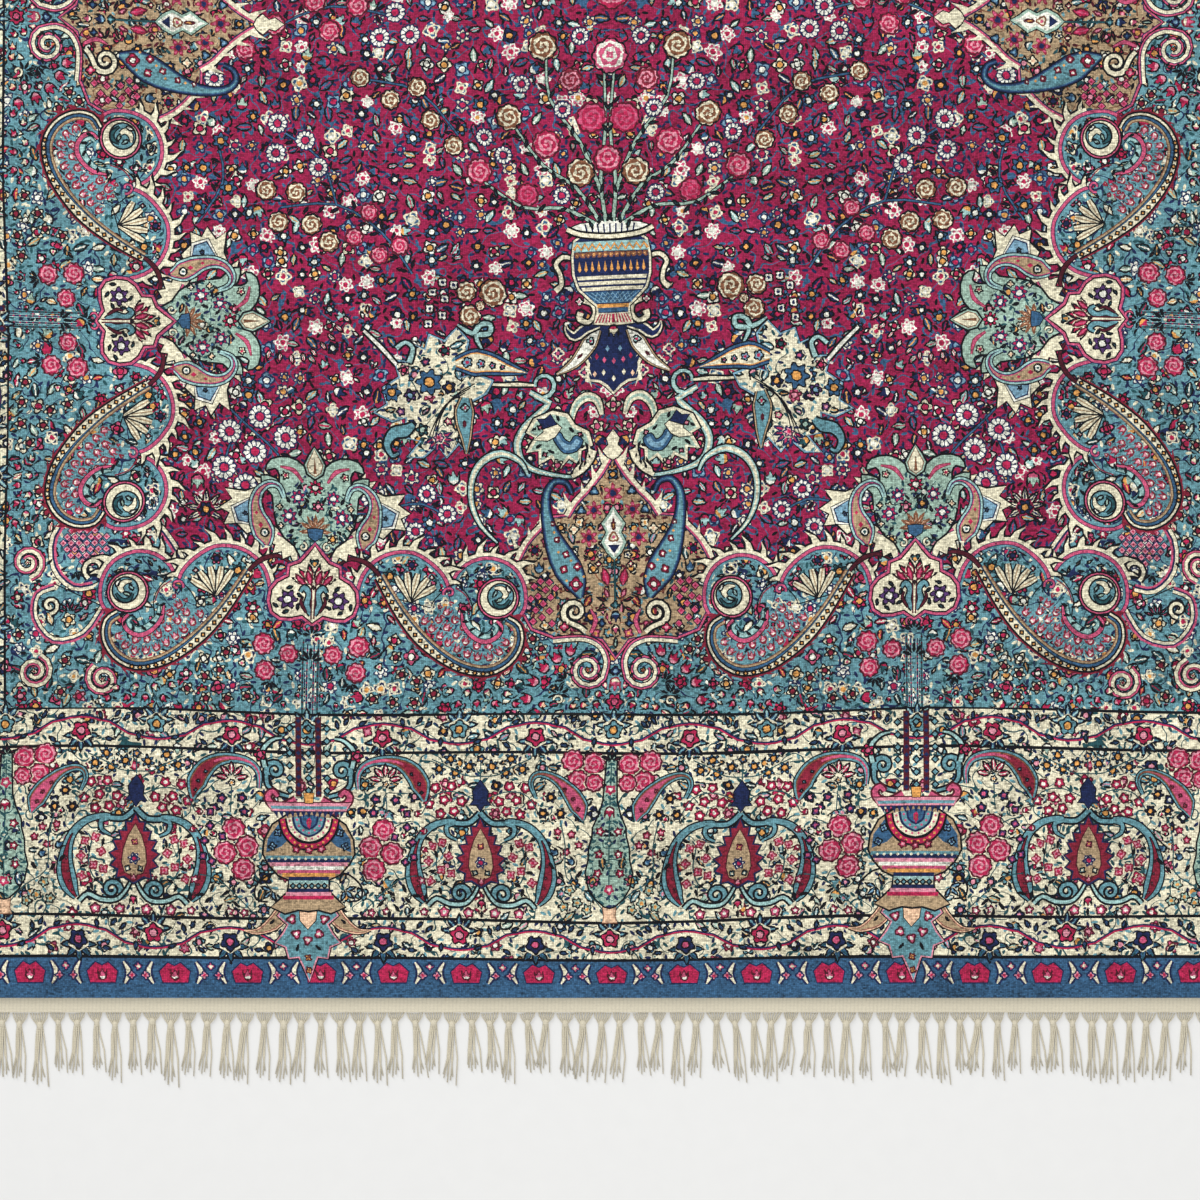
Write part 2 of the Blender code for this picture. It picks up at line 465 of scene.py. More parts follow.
def several(chart, places, size, yarns, form="flower", depth=None, turn=None, petals=None):
    """The same small flower at several places, each turned its own way unless told."""
    for i, (x, y) in enumerate(places):
        chart.bloom(x, y, size, yarns, form, depth, 67.0 * i + 90 * y if turn is None else turn, petals)


print("a bright rose has petals, heart and outline in", BRIGHT_ROSE)

# %% [markdown]
# ## Its crown and its teardrops
# The crown's lobes and its ground grow together inside one outline. A thorny flame stands behind them,
# and a teardrop, the boteh, hangs beside them from its curled tip.
# %% The crown and its teardrop
# Two lobes on each side of the crown, which grow together with its ground inside one outline.
CROWN_LOBES = [flow([(0.4, 18.2), (0.9, 19.6), (2.1, 20.3), (3.5, 20.1), (3.9, 19.3), (3.2, 19.5),
                     (2.8, 18.9), (2.9, 17.6)], 2) + [(1.6, 16.6)],
               flow([(2.4, 17.8), (3.2, 18.6), (4.3, 18.8), (4, 17.9), (3.4, 17.3), (3.3, 16)],
                    2) + [(1.6, 16.6)]]


def palmette_crown():
    """The right half of the lotus crown, its side curl, its boteh and its thorny flame."""
    half = Chart()
    flame = [(4.6, 17.9), (5.6, 17.5), (7.2, 17.7), (6.6, 16.9), (7.6, 16.2), (6.8, 15.8), (7.2, 14.9)]
    flame += [(6.2, 15), (5.4, 14.2), (4.6, 14.6), (4.4, 16.2)]
    half.patch(flame, ("ink", OUTLINE), ("cream", 0))
    half.patch([(5.1, 17.1), (6.7, 16.3), (6.3, 15), (5.1, 14.9)], ("ink", 0.1), ("ivory", 0),
               ("navy", -0.2), ("sky", -0.34))
    half.bloom(5.6, 15.8, 0.26, "sky navy ink")
    half.patch([(3.2, 18.3), (4.1, 19.3), (4, 18.5), (4.9, 18.7), (4.3, 17.9)], ("ink", OUTLINE),
               ("cream", 0))
    for lobe in CROWN_LOBES:
        half.patch(lobe, ("ink", OUTLINE))
    leaf = [(1.1, 12.3), (1.5, 13.6), (2.4, 14.2), (3.3, 14.8), (3.4, 14), (4, 13.7), (3.1, 13.4),
            (3.3, 12.7)]
    leaf += [(2.6, 12.9), (2.5, 12.3), (1.9, 12.6), (1.6, 11.9)]
    half.patch(leaf, ("ink", OUTLINE), ("cream", 0))
    half.stem(flow([(1.2, 12), (1.4, 13.2), (2.2, 13.9), (3, 14.3)]), 0.08, "rose", "navy", 0.06)
    return half


def palmette_boteh():
    """The teardrop that hangs beside the crown, from the curl of its tip to its round head."""
    half = Chart()
    spine = flow([(2.5, 17.1), (2.9, 18), (3.7, 18.2), (4.5, 17.6), (4.8, 16.6), (4.6, 15.5), (4.2, 14.6),
                  (3.9, 13.8), (3.8, 13.3)], 3)
    wide = (0.12, 0.18, 0.24, 0.32, 0.42, 0.55, 0.78, 0.84, 0.3)
    half.boteh(spine, wide, ("ink", -0.13), ("aqua", -0.03), ("navy", 0.12), ("rose", 0.2), ("sand", 0.28))
    for t, size in ((0.45, 0.1), (0.6, 0.14), (0.72, 0.2)):
        x, y = spine[int(t * (len(spine) - 1))]
        half.fill(oval(x, y, size, size * 1.3, 4), "crimson")
    half.bloom(4, 14.3, 0.4, "ivory pine ink", petals=3, depth=0.05)
    return half


def palmette_body():
    """Crown ground with its flowers and the lotus, whole, on top of the two halves."""
    whole = Chart()
    ground = [(0, 19.4), (0.8, 19), (1.6, 18.2), (2.4, 17.5), (3, 16.7), (3.2, 15.8), (3, 14.9), (2.4, 14)]
    ground += [(1.6, 13.4), (1.2, 12.7), (0.9, 12), (0, 11.8)]
    whole.patch(mirrored(ground), ("ink", OUTLINE))
    lobes = Chart()
    for lobe in CROWN_LOBES:
        lobes.patch(lobe, ("sage", 0))
    whole.both(lobes)
    whole.patch(mirrored(ground), ("sage meadow", 0))
    for side in (-1, 1):
        curl = flow([(1.0 * side, 18.4), (1.7 * side, 19.3), (2.8 * side, 19.6)])
        whole.stem(curl, (0.05, 0.14, 0.03), "rose", "brick", 0.06)
        whole.bloom(2.4 * side, 18.9, 0.4, "cream crimson ink")
    bud = [(0, 21.2), (0.45, 20.5), (0.8, 19.8), (0.6, 19.1), (0, 18.7)]
    whole.patch(mirrored(bud), ("ink", OUTLINE), ("sage", 0), ("brown", -0.12), ("cream", -0.2))
    whole.stem([(0, 19.1), (0, 20.3)], (0.14, 0.02), "brown")
    whole.bloom(0, 18, 0.7, "crimson ivory ink", petals=8, depth=0.36)
    for side in (-1, 1):
        whole.bloom(1.4 * side, 17.2, 0.66, "crimson ivory navy", petals=7, depth=0.36)
        whole.bloom(2.1 * side, 15.7, 0.72, "crimson ivory navy", petals=7, depth=0.36)
        whole.bloom(0.7 * side, 17, 0.34, "navy blue ink", "leaf", turn=90 - 40 * side)
        whole.bloom(2.2 * side, 17, 0.36, "blue navy ink", "leaf", 0.45, 90 - 30 * side)
        whole.bloom(1.2 * side, 16, 0.36, "sky blue ink", "leaf", 0.45, 90 + 20 * side)
        whole.bloom(1.9 * side, 14.5, 0.3, "navy blue ink", "leaf", 0.5, 90 + 50 * side)
        whole.bloom(2.85 * side, 16.4, 0.36, "cream peach ink", petals=4)
        whole.bloom(2.75 * side, 14.9, 0.34, "ivory peach ink", petals=4)
        curl = volute(0.95 * side, 13.3, 0.34, 0.1, 90, 0.9 * side)
        whole.stem(curl, 0.07, "cream", "ink", 0.08)
    fan(whole, 0, 14.6, 0.75, -5, 185, 7, "cream peach brown", 0.62, 0.3)
    whole.patch(mirrored([(0, 14.75), (0.62, 14.7), (0.5, 14.1), (0, 13.8)]), ("ink", 0.09), ("blue", 0))
    return whole


print("the body of the crown takes", len(palmette_body().areas), "areas")

# %% [markdown]
# ## Its cartouche and its stalk
# Under the crown is a cream cartouche with a dark scroll on each side. A beaded stalk runs down from it
# through the border line, between roses.
# %% The cartouche and the stalk
def palmette_cartouche():
    """The lobed cream cartouche under the crown, with its dark scrolls."""
    whole = Chart()
    outline = [(0, 13.4), (0.5, 12.7), (1.1, 12), (1.9, 11.7), (1.95, 10.9), (2.8, 10.4), (3.25, 9.8)]
    outline += [(3.35, 8.9), (3.1, 8.1), (2.5, 7.7), (1.7, 7.7), (0.8, 7.9), (0, 7.3)]
    whole.patch(mirrored(outline), ("navy", 0.38), ("rose", 0.28), ("ink", 0.08), ("cream", -0.04))
    whole.bloom(0, 12, 0.5, "pine gold ink", petals=4, depth=0.35, turn=45)
    fan(whole, 0, 10.2, 1.15, 20, 160, 6, "brick crimson ink", 0.8, 0.36)
    for side in (-1, 1):
        for x, y, turn, size in ((0.4, 10.9, 74, 0.72), (1.1, 10.7, 48, 0.66)):
            whole.bloom(x * side, y, size, "crimson rose wine", "leaf", 0.42,
                        turn if side > 0 else 180 - turn)
        lyre = [(0.12 * side, 7.9), (0.5 * side, 8.7), (0.35 * side, 9.6), (0.75 * side, 10.1),
                (1.05 * side, 9.7)]
        whole.stem(flow(lyre), (0.1, 0.22, 0.16, 0.2, 0.08), "teal", "ink", 0.13)
        whole.stem(flow([(0.5 * side, 8.1), (0.95 * side, 8.9), (0.8 * side, 9.4)]), (0.05, 0.12, 0.03),
                   "wine", "ink", 0.07)
        whole.bloom(2.0 * side, 9.1, 0.86, "plum ivory ink", petals=6, depth=0.34)
        for turn in (100, 160, 215, 275, 330):
            a = math.radians(turn if side > 0 else 180 - turn)
            place = (2.05 * side + 1.05 * math.cos(a), 9.1 + 0.98 * math.sin(a))
            whole.bloom(*place, 0.36, "pine aqua ink", "leaf", 0.5, math.degrees(a) + 60)
    whole.stem([(0, 7.6), (0, 10.4)], (0.05, 0.16, 0.1), "cream", "wine", 0.12)
    whole.bloom(0, 10.1, 0.24, "gold wine ink", petals=4)
    for side in (-1, 1):
        whole.stem(volute(0.36 * side, 6.95, 0.34, 0.12, 90, -0.8 * side), 0.07, "rose", "ink", 0.07)
    return whole


def palmette_stalk():
    """The beaded stalk from the cartouche through the border line, with roses on either side."""
    whole = Chart()
    for x in (-0.6, 0.6):
        whole.stem([(x, 6), (x, -0.2)], 0.07, "pine", "teal", 0.05)
        whole.beads([(x, 6), (x, 0.2)], 0.55, 0.1, "wine")
    for x in (-0.26, 0.26):
        whole.stem([(x, 5.6), (x, -0.2)], 0.06, "navy", "aqua", 0.05)
        whole.beads([(x, 5.4), (x, 0.2)], 0.5, 0.08, "crimson")
    fan(whole, 0, 4.2, 0.7, 20, 160, 5, "pine navy ink", 0.5, 0.3)
    fan(whole, 0, 6.3, 0.5, 10, 170, 5, "gold cream ink", 0.36, 0.34)
    for side in (-1, 1):
        for x, y, size, turn in ((3.75, 5.5, 0.95, 0), (1.75, 4.8, 0.85, 80), (3.6, 3.4, 0.9, 200)):
            whole.bloom(x * side, y, size, BRIGHT_ROSE, "rose", 0.12, turn * side)
        fan(whole, 3.2 * side, 2.6, 0.5, 220, 330, 4, "sage pine ink", 0.4, 0.36)
        whole.bloom(1.6 * side, 3, 0.45, "cream crimson ink", "leaf", 0.42, 90 - 30 * side)
        whole.bloom(5.2 * side, 5.3, 0.42, "brown gold ink", "leaf", turn=90 + 50 * side)
        whole.bloom(5.4 * side, 3.9, 0.38, "cream rose ink", petals=3, depth=0.25)
        whole.bloom(0.95 * side, 6.5, 0.3, "pine teal ink", "leaf", turn=90 - 60 * side)
        for x, y in ((0.95, 1.5), (2.1, 0.75), (3.3, 1.1)):
            whole.bloom(x * side, y, 0.36, "crimson ivory ink", "bud", turn=250)
    return whole


print("the stalk takes", len(palmette_stalk().areas), "areas")

# %% [markdown]
# ## Its arches and its great boteh
# Two thorny arches run out from the cartouche over a teal ground. Under them a large boteh lies on its
# back, with a beaded stem below and a curled head at its far end, beside a roundel.
# %% Arches, roundel and great boteh
def palmette_side():
    """The teal arches and the large boteh to the right of the cartouche."""
    half = Chart()
    arch = flow([(3.2, 9.6), (3.7, 11.3), (4.7, 12.5), (6.2, 13.2), (7.9, 13.2), (9.4, 12.3), (10.4, 11.2),
                 (10.8, 10.2)])
    second = flow([(10.6, 10.2), (11.2, 11.5), (12.5, 12.5), (14.2, 12.7), (15.9, 11.9), (16.8, 10.4),
                   (16.9, 8.6), (16.2, 7.4)])
    for line in (second, arch):
        half.patch(line + [(line[-1][0], 5.8), (line[0][0], 5.8)], ("teal meadow", 0))
    for line in (second, arch):
        half.flame(line[:-6] if line is second else line, 0.3, 0.8, 1.05)
        half.bands(line, ("navy", -0.36, 0.04), ("rose", -0.26, -0.02), ("teal", -0.5, -0.33))
    # In the first arch: a dark flower on a wine branch, a red rosette and a cream fan.
    half.stem(flow([(1.9, 12), (2.9, 12.5), (4.1, 12.2), (5, 11.4), (5.6, 10.4)]),
              (0.04, 0.12, 0.16, 0.12, 0.06), "wine", "ink", 0.08)
    half.bloom(6, 11.2, 0.72, "pine gold ink", petals=7, depth=0.35)
    half.bloom(7.7, 12.1, 0.55, "rose navy ink", petals=6)
    shell(half, 7.6, 9.2, 2.3, 30, 120)
    half.bloom(5, 10.3, 0.5, "cream brick ink", "leaf", 0.5, 70)
    half.bloom(9.3, 11.1, 0.3, "crimson ivory ink", petals=4)
    half.bloom(5.2, 12.3, 0.26, "crimson ivory ink", petals=4)
    # In the second: a row of leaves and drops that follows the arch, and the roundel.
    for x, y, a in walk(shifted(second, -0.95), 0.95):
        half.bloom(x, y, 0.4, "cream brick ink", "leaf", 0.42, math.degrees(a) + 35)
    for x, y, a in walk(shifted(second, -1.65), 0.9, 1):
        half.bloom(x, y, 0.36, "pine sand ink", "leaf", turn=math.degrees(a) - 30)
    half.put(roundel(), 14.6, 9.3)
    return half


def roundel():
    """A cream crescent closed round a curled stem, a pale comma and small leaves."""
    ring = Chart()
    ring.patch(oval(0, 0, 1.5, 1.5, 22), ("ink", 0.26), ("rose", 0.12), ("ink", 0.02), ("cream", -0.1))
    ring.patch(oval(0.2, 0.16, 1.06, 1.06, 18), ("ink", 0.06), ("teal", -0.08))
    ring.stem(flow([(0.95, -0.1), (0.5, -0.62), (-0.1, -0.62), (-0.4, -0.1)]), (0.04, 0.1, 0.12, 0.05),
              "pine", "ink", 0.1)
    ring.stem(flow([(-0.3, 0.85), (0.25, 0.8), (0.62, 0.4), (0.4, 0)]), (0.05, 0.17, 0.22, 0.12), "cream",
              "ink", 0.1)
    for x, y, turn, yarn in ((-0.25, 0.4, 60, "aqua"), (0.05, -0.15, 200, "sage"), (0.8, 0.75, 120, "ivory")):
        ring.bloom(x, y, 0.44, f"{yarn} pine ink", "leaf", 0.5, turn)
    return ring


def great_boteh():
    """The large boteh that lies on its back: beaded stem below, teal inside, curled head at its end."""
    half = Chart()
    back = flow([(5.2, 11.2), (6, 9.9), (7, 8.4), (8.3, 6.8), (10, 5.2), (11.9, 4), (13.9, 3.6),
                 (15.4, 4.3), (16.2, 5.6), (16.1, 6.9), (15.3, 7.5)])
    inner = flow([(15.3, 7.5), (14.5, 7.4), (13.9, 6.6), (12.9, 6.5), (12.4, 7.4), (12.5, 8.7), (11.9, 9.9),
                  (11, 10.5), (10.3, 10), (9.6, 9.3), (9, 8.3), (8, 7.6)])
    half.patch(back[4:] + inner[1:-4], ("ink", 0.1), ("teal meadow", 0))
    # The stem: red barbs and outline outside, then cream with navy beads, gold and navy inside.
    half.thorns(back[8:][::-1], 0.4, 0.85, "brick", 0.62)
    half.bands(back, ("brick", (-0.6, -0.95, -0.75, -0.62), 0), ("ink", (-0.5, -0.84, -0.62, -0.5), 0),
               ("cream", (-0.36, -0.68, -0.46, -0.34), 0), ("ink", (-0.02, -0.04, -0.3, -0.2), 0.12),
               ("blue", (0, -0.02, -0.16, -0.08), 0.06), ("sand", 0.12, 0.26), ("brown", 0.26, 0.34))
    half.beads(shifted(back[:20], (-0.18, -0.38, -0.36)), 0.66, 0.1, "gold", "ink")
    half.stem(volute(10.7, 9.85, 0.5, 0.16, 200, -0.85), 0.08, "rose", "navy", 0.08)
    half.bands(flow([(11.2, 10.3), (12.1, 9.6), (12.5, 8.5)]), ("brick", -0.1, 0))
    # Rows of bells inside, then a scroll with green leaves in the head.
    for first, last, inwards in ((8, 26, 0.98), (9, 22, 1.85), (9, 16, 2.7)):
        for x, y, a in walk(shifted(back[first:last], inwards), 0.88):
            half.bloom(x, y, 0.46, "pink ivory brick", "bud", turn=math.degrees(a) + 100)
    scroll = flow([(11.7, 8.3), (11.9, 7.2), (12.7, 6.3), (13.7, 5.9), (14.6, 6.3), (14.9, 7), (14.5, 7.5)])
    half.stem(scroll, (0.05, 0.14, 0.2, 0.26, 0.22, 0.16, 0.08), "rose", "ink", 0.07)
    half.stem(shifted(scroll, 0.36), (0.05, 0.14, 0.2, 0.16, 0.06), "aqua", "pine", 0.1)
    for x, y, a in walk(scroll, 0.8):
        half.bloom(x + 0.1, y + 0.42, 0.34, "sage pine ink", "leaf", 0.42, math.degrees(a) + 60)
    for x, y in ((10, 8.7), (10.9, 9), (10.2, 7.9), (11.3, 7.8)):
        half.bloom(x, y, 0.22, "peach ivory brick", petals=3)
    return half


def palmette_skirt():
    """Small flowers on the teal strip between the boteh and the border line."""
    half = Chart()
    for x, y in ((5, 1.3), (6.6, 1.05), (8.3, 1), (9.8, 1.7), (8.4, 2.75), (7.2, 3.3), (6.7, 4.7)):
        half.bloom(x, y, 0.6, CREAM_FIVE, depth=0.34, turn=x * 50)
    buds = ((11, 1.9), (11.7, 0.8), (12.4, 1.7), (13.2, 0.8), (14, 1.7), (14.7, 0.8), (15.6, 1.6),
            (16.3, 0.8))
    for i, (x, y) in enumerate(buds):
        yarns = "crimson pink ink" if i % 2 else "cream rose ink"
        half.bloom(x, y, 0.5, yarns, "bud", turn=200 + 25 * i)
    return half


def vase_palmette():
    """The whole palmette: its halves first, then the crown, the cartouche and the stalk."""
    whole = Chart()
    for part in (palmette_side(), great_boteh(), palmette_skirt(), palmette_crown()):
        whole.both(part)
    whole.put(palmette_body())
    whole.both(palmette_boteh())
    whole.put(palmette_cartouche())
    whole.put(palmette_stalk())
    return whole


PALMETTE = vase_palmette()
print("the vase palmette has", len(PALMETTE.areas), "areas")

# %% [markdown]
# ## The ogee palmette and the corner
# Between the vase palmettes stands a broad palmette with a pointed, onion-shaped head. Its sand ground
# holds red stars and a lotus spear, and two teal botehs lean in from its shoulders. Volutes and tulips
# fill the teal strip under it. The corner of the field has a boteh of its own, checked with pink
# lozenges, and two spirals.
# %% The ogee palmette
def lozenges(chart, places, size, yarns="rose crimson ink"):
    """Flowers checked with small diamonds."""
    outer, inner, rim = yarns.split()
    for x, y in places:
        chart.fill(oval(x, y, size + 0.1, size + 0.1, 4), rim)
        chart.fill(oval(x, y, size, size, 4), outer)
        chart.fill(oval(x, y, size * 0.45, size * 0.45, 4), inner)


def ogee_side():
    """The right half: thorny head and shoulder, the leaning boteh, checks and a spiral."""
    half = Chart()
    head = flow([(0, 20.6), (0.8, 19.2), (1.9, 17.8), (2.9, 16.8), (3.6, 15.7)])
    shoulder = flow([(5, 15.6), (6, 14.7), (7, 13.6), (7.7, 12.3)])
    for line in (head, shoulder):
        out = line[::-1]
        half.thorns(out, -0.95, 1.7, "ink", -0.2, -0.04, 0.2)
        half.band(out, -0.5, 0.1, "ink")
        half.thorns(out, -0.85, 1.7, "cream", -0.2, 0, 0.2)
        half.bands(out, ("cream", -0.38, -0.06), ("rose", -0.06, 0.1), ("navy", 0.1, 0.2))
    spine = flow([(3.3, 17.6), (3.7, 18.4), (4.6, 18.6), (5.3, 17.7), (5.4, 16.2), (5.1, 14.6), (4.5, 13),
                  (3.8, 11.6), (3.2, 10.5), (2.9, 9.6), (2.8, 9.2)], 3)
    wide = (0.14, 0.2, 0.26, 0.32, 0.4, 0.55, 0.8, 1.02, 1.12, 0.85, 0.2)
    half.boteh(spine, wide, ("ink", -0.1), ("navy", 0), ("blue", 0.1), ("teal", 0.2))
    blossoms = ((3.15, 10.3, 0.62), (3, 11.7, 0.38), (4.1, 11.5, 0.4), (3.9, 12.7, 0.36), (4.6, 13.9, 0.32),
                (4.9, 15.2, 0.26))
    for x, y, size in blossoms:
        half.bloom(x, y, size, "crimson ivory wine", petals=4, depth=0.22, turn=x * 30)
    for x, y in ((3.9, 10.6), (2.5, 10.9), (3.5, 12.2), (4.5, 12.9), (4.8, 14.5)):
        half.fill(oval(x, y, 0.13, 0.13, 4), "gold")
    checks = [(5.6, 9.9), (6.2, 9.4), (5.2, 9.3), (5.8, 8.8), (6.4, 8.3), (5.3, 8.2), (5.9, 7.7),
              (6.5, 10.2), (6, 10.6), (5.3, 10.5), (6.8, 9.2), (5.1, 7.2), (6.6, 7.4), (4.8, 10)]
    lozenges(half, checks, 0.28)
    half.stem(volute(3.3, 8.1, 1, 0.2, 300, 1.35), (0.2, 0.16, 0.1), "cream", "ink")
    half.stem(flow([(2.4, 6.5), (2.9, 6.9), (3.7, 7.25)]), 0.16, "cream", "ink")
    half.bloom(4.1, 6.9, 0.5, "crimson pink ink", petals=4)
    half.bloom(5.2, 6.7, 0.36, "navy blue ink", "leaf", turn=20)
    half.stem(flow([(2, 6.4), (1.6, 7.4), (2, 8.3)]), (0.1, 0.16, 0.04), "rose", "wine", 0.07)
    return half


print("one side of the ogee palmette takes", len(ogee_side().areas), "areas")

# %% [markdown]
# ## The strip under the ogee palmette
# The stem of the palmette divides into two spirals, and tulips and small flowers fill what they leave.
# %% The volutes, and the whole ogee palmette
def ogee_volutes():
    """Under the palmette: a pair of spirals, tulips and small flowers, right half."""
    half = Chart()
    stem = flow([(5, 5.9), (3.9, 6), (2.4, 6), (1.2, 5.4), (0.65, 4.2), (0.9, 2.9)])
    curl = volute(2.2, 3.5, 1.45, 0.35, 205, 1.5)
    half.bands(stem + curl, ("ink", -0.3, 0.36), ("rose", -0.2, -0.08), ("navy", -0.08, 0),
               ("cream", 0, 0.26))
    for x, y, a in walk(curl[4:14], 0.7):
        half.bloom(x + 0.28 * math.sin(a), y - 0.28 * math.cos(a), 0.3, "sage pine ink", "leaf", 0.42,
                   math.degrees(a) - 60)
    for x, y, turn in ((3.6, 5.1, 100), (4.7, 4.5, 60), (5.7, 3.7, 40), (6.5, 2.6, 20), (7, 1.2, 10)):
        half.bloom(x, y, 0.68, "crimson pink ink", "bud", turn=turn)
    fan(half, 3.9, 2.7, 0.5, -50, 80, 4, "brown gold ink", 0.45, 0.34)
    fan(half, 4.4, 1.6, 0.55, -20, 200, 6, "sage pine ink", 0.4, 0.34)
    half.stem(volute(4.4, 1.1, 0.42, 0.12, 0, 0.9), 0.07, "cream", "ink", 0.08)
    for x, y in ((6.6, 6), (5.9, 5.2), (7.2, 4.4), (8, 5.4)):
        half.bloom(x, y, 0.6, CREAM_FIVE, depth=0.34, turn=x * 50)
    tulips = ((1.2, 1.55, 200), (1.4, 0.75, 250), (2.4, 0.7, 180), (5.6, 0.7, 200), (3.2, 0.65, 150))
    for x, y, turn in tulips:
        half.bloom(x, y, 0.5, "peach crimson ink" if x > 2 else "crimson cream ink", "bud", turn=turn)
    half.bloom(0.75, 2.3, 0.4, "rose cream ink", petals=4)
    half.bloom(2.2, 3.5, 0.3, "gold brick ink")
    return half


def ogee_palmette():
    """The whole palmette on its sand ground, with the lotus spear on the middle line."""
    whole = Chart()
    ground = [(0, 20.6), (0.8, 19.2), (1.9, 17.8), (2.9, 16.8), (3.6, 15.7), (5, 15.6), (6, 14.7), (7, 13.6)]
    ground += [(7.7, 12.3), (7.2, 11), (7.1, 9.6), (7.3, 8.2), (6.6, 6.9), (4.8, 6.2), (2.6, 6.3), (1, 6),
               (0, 4.6)]
    whole.patch(mirrored(ground), ("ink", 0.36), ("rose", 0.26), ("navy", 0.1), ("sand meadow", 0))
    whole.both(ogee_volutes())
    whole.both(ogee_side())
    whole.patch(mirrored([(0, 22.6), (0.5, 21.9), (0.35, 21.4), (0.8, 20.9), (0.4, 20.4), (0, 20.2)]),
                ("ink", 0.1), ("cream", 0))
    whole.bloom(0, 19, 0.55, "blue gold ink", petals=4, turn=45)
    whole.bloom(0, 17.5, 0.85, "rose navy brick", petals=6, depth=0.5, turn=30)
    spear = [(0, 16.5), (0.35, 15.9), (0.95, 15.1), (0.6, 14.4), (1, 13.6), (0.6, 12.8), (0, 12.2)]
    whole.patch(mirrored(spear), ("ink", 0.1), ("sage", 0), ("ivory", -0.22))
    whole.bloom(0, 15, 0.55, "crimson gold wine", "leaf", 0.36, 90)
    whole.bloom(0, 14, 0.48, "cream rose brown", petals=3, depth=0.25, turn=90)
    whole.fill([(-0.5, 13.4), (0.5, 13.4), (0, 12.7)], "navy")
    whole.stem([(0, 12.2), (0, 8.4)], 0.06, "pine", "ink", 0.04)
    for side in (-1, 1):
        for x, y in ((1.55, 16.2), (2, 14)):
            whole.bloom(x * side, y, 0.75, "rose navy brick", petals=6, depth=0.5, turn=30)
        for x, y in ((1.5, 17.7), (2.55, 16.2)):
            whole.bloom(x * side, y, 0.46, "blue sky ink", petals=3, turn=90)
        whole.bloom(3.2 * side, 14.7, 0.5, "cream peach ink", petals=4)
        whole.bloom(1.1 * side, 12.6, 0.42, "cream navy ink")
        whole.bloom(1.3 * side, 11.9, 0.34, "crimson cream ink", petals=4)
        whole.bloom(0.75 * side, 10.9, 0.8, "crimson rose wine", "leaf", 0.5, 90 - 12 * side)
        whole.bloom(0.7 * side, 9.6, 0.5, "rose pink wine", "leaf", 0.5, 90 - 25 * side)
        whole.bloom(6.4 * side, 13.1, 0.6, "crimson navy ink", petals=6, depth=0.4)
        whole.bloom(6.1 * side, 11.7, 0.6, "blue sky ink", "bud", turn=90)
        whole.bloom(2.3 * side, 12.5, 0.3, "pine sage ink", "leaf", 0.45, 90 - 60 * side)
        for turn in (20, -20):
            whole.bloom(1.1 * side, 8.7 + turn * 0.02, 0.55, "cream brick ink", "leaf", 0.34,
                        turn if side > 0 else 180 - turn)
        whole.bloom(1.1 * side, 7.2, 0.4, "navy blue ink", petals=4)
    whole.bloom(0, 8.6, 0.45, "pine teal ink", petals=4)
    whole.bloom(0, 7.7, 0.6, "navy sky ink", "bud", turn=270)
    whole.bloom(0, 6.7, 0.5, "rose cream ink", "bud", turn=270)
    whole.bloom(0, 5.7, 0.55, "pine sage ink", "leaf", turn=90)
    whole.bloom(0, 3.4, 0.5, "navy sky ink", petals=4, depth=0.25)
    whole.bloom(0, 2.4, 0.66, "rose cream brick", "bud", turn=270)
    whole.bloom(0, 1, 0.78, "crimson rose ink", petals=6, depth=0.25)
    return whole


OGEE = ogee_palmette()
print("the ogee palmette has", len(OGEE.areas), "areas")
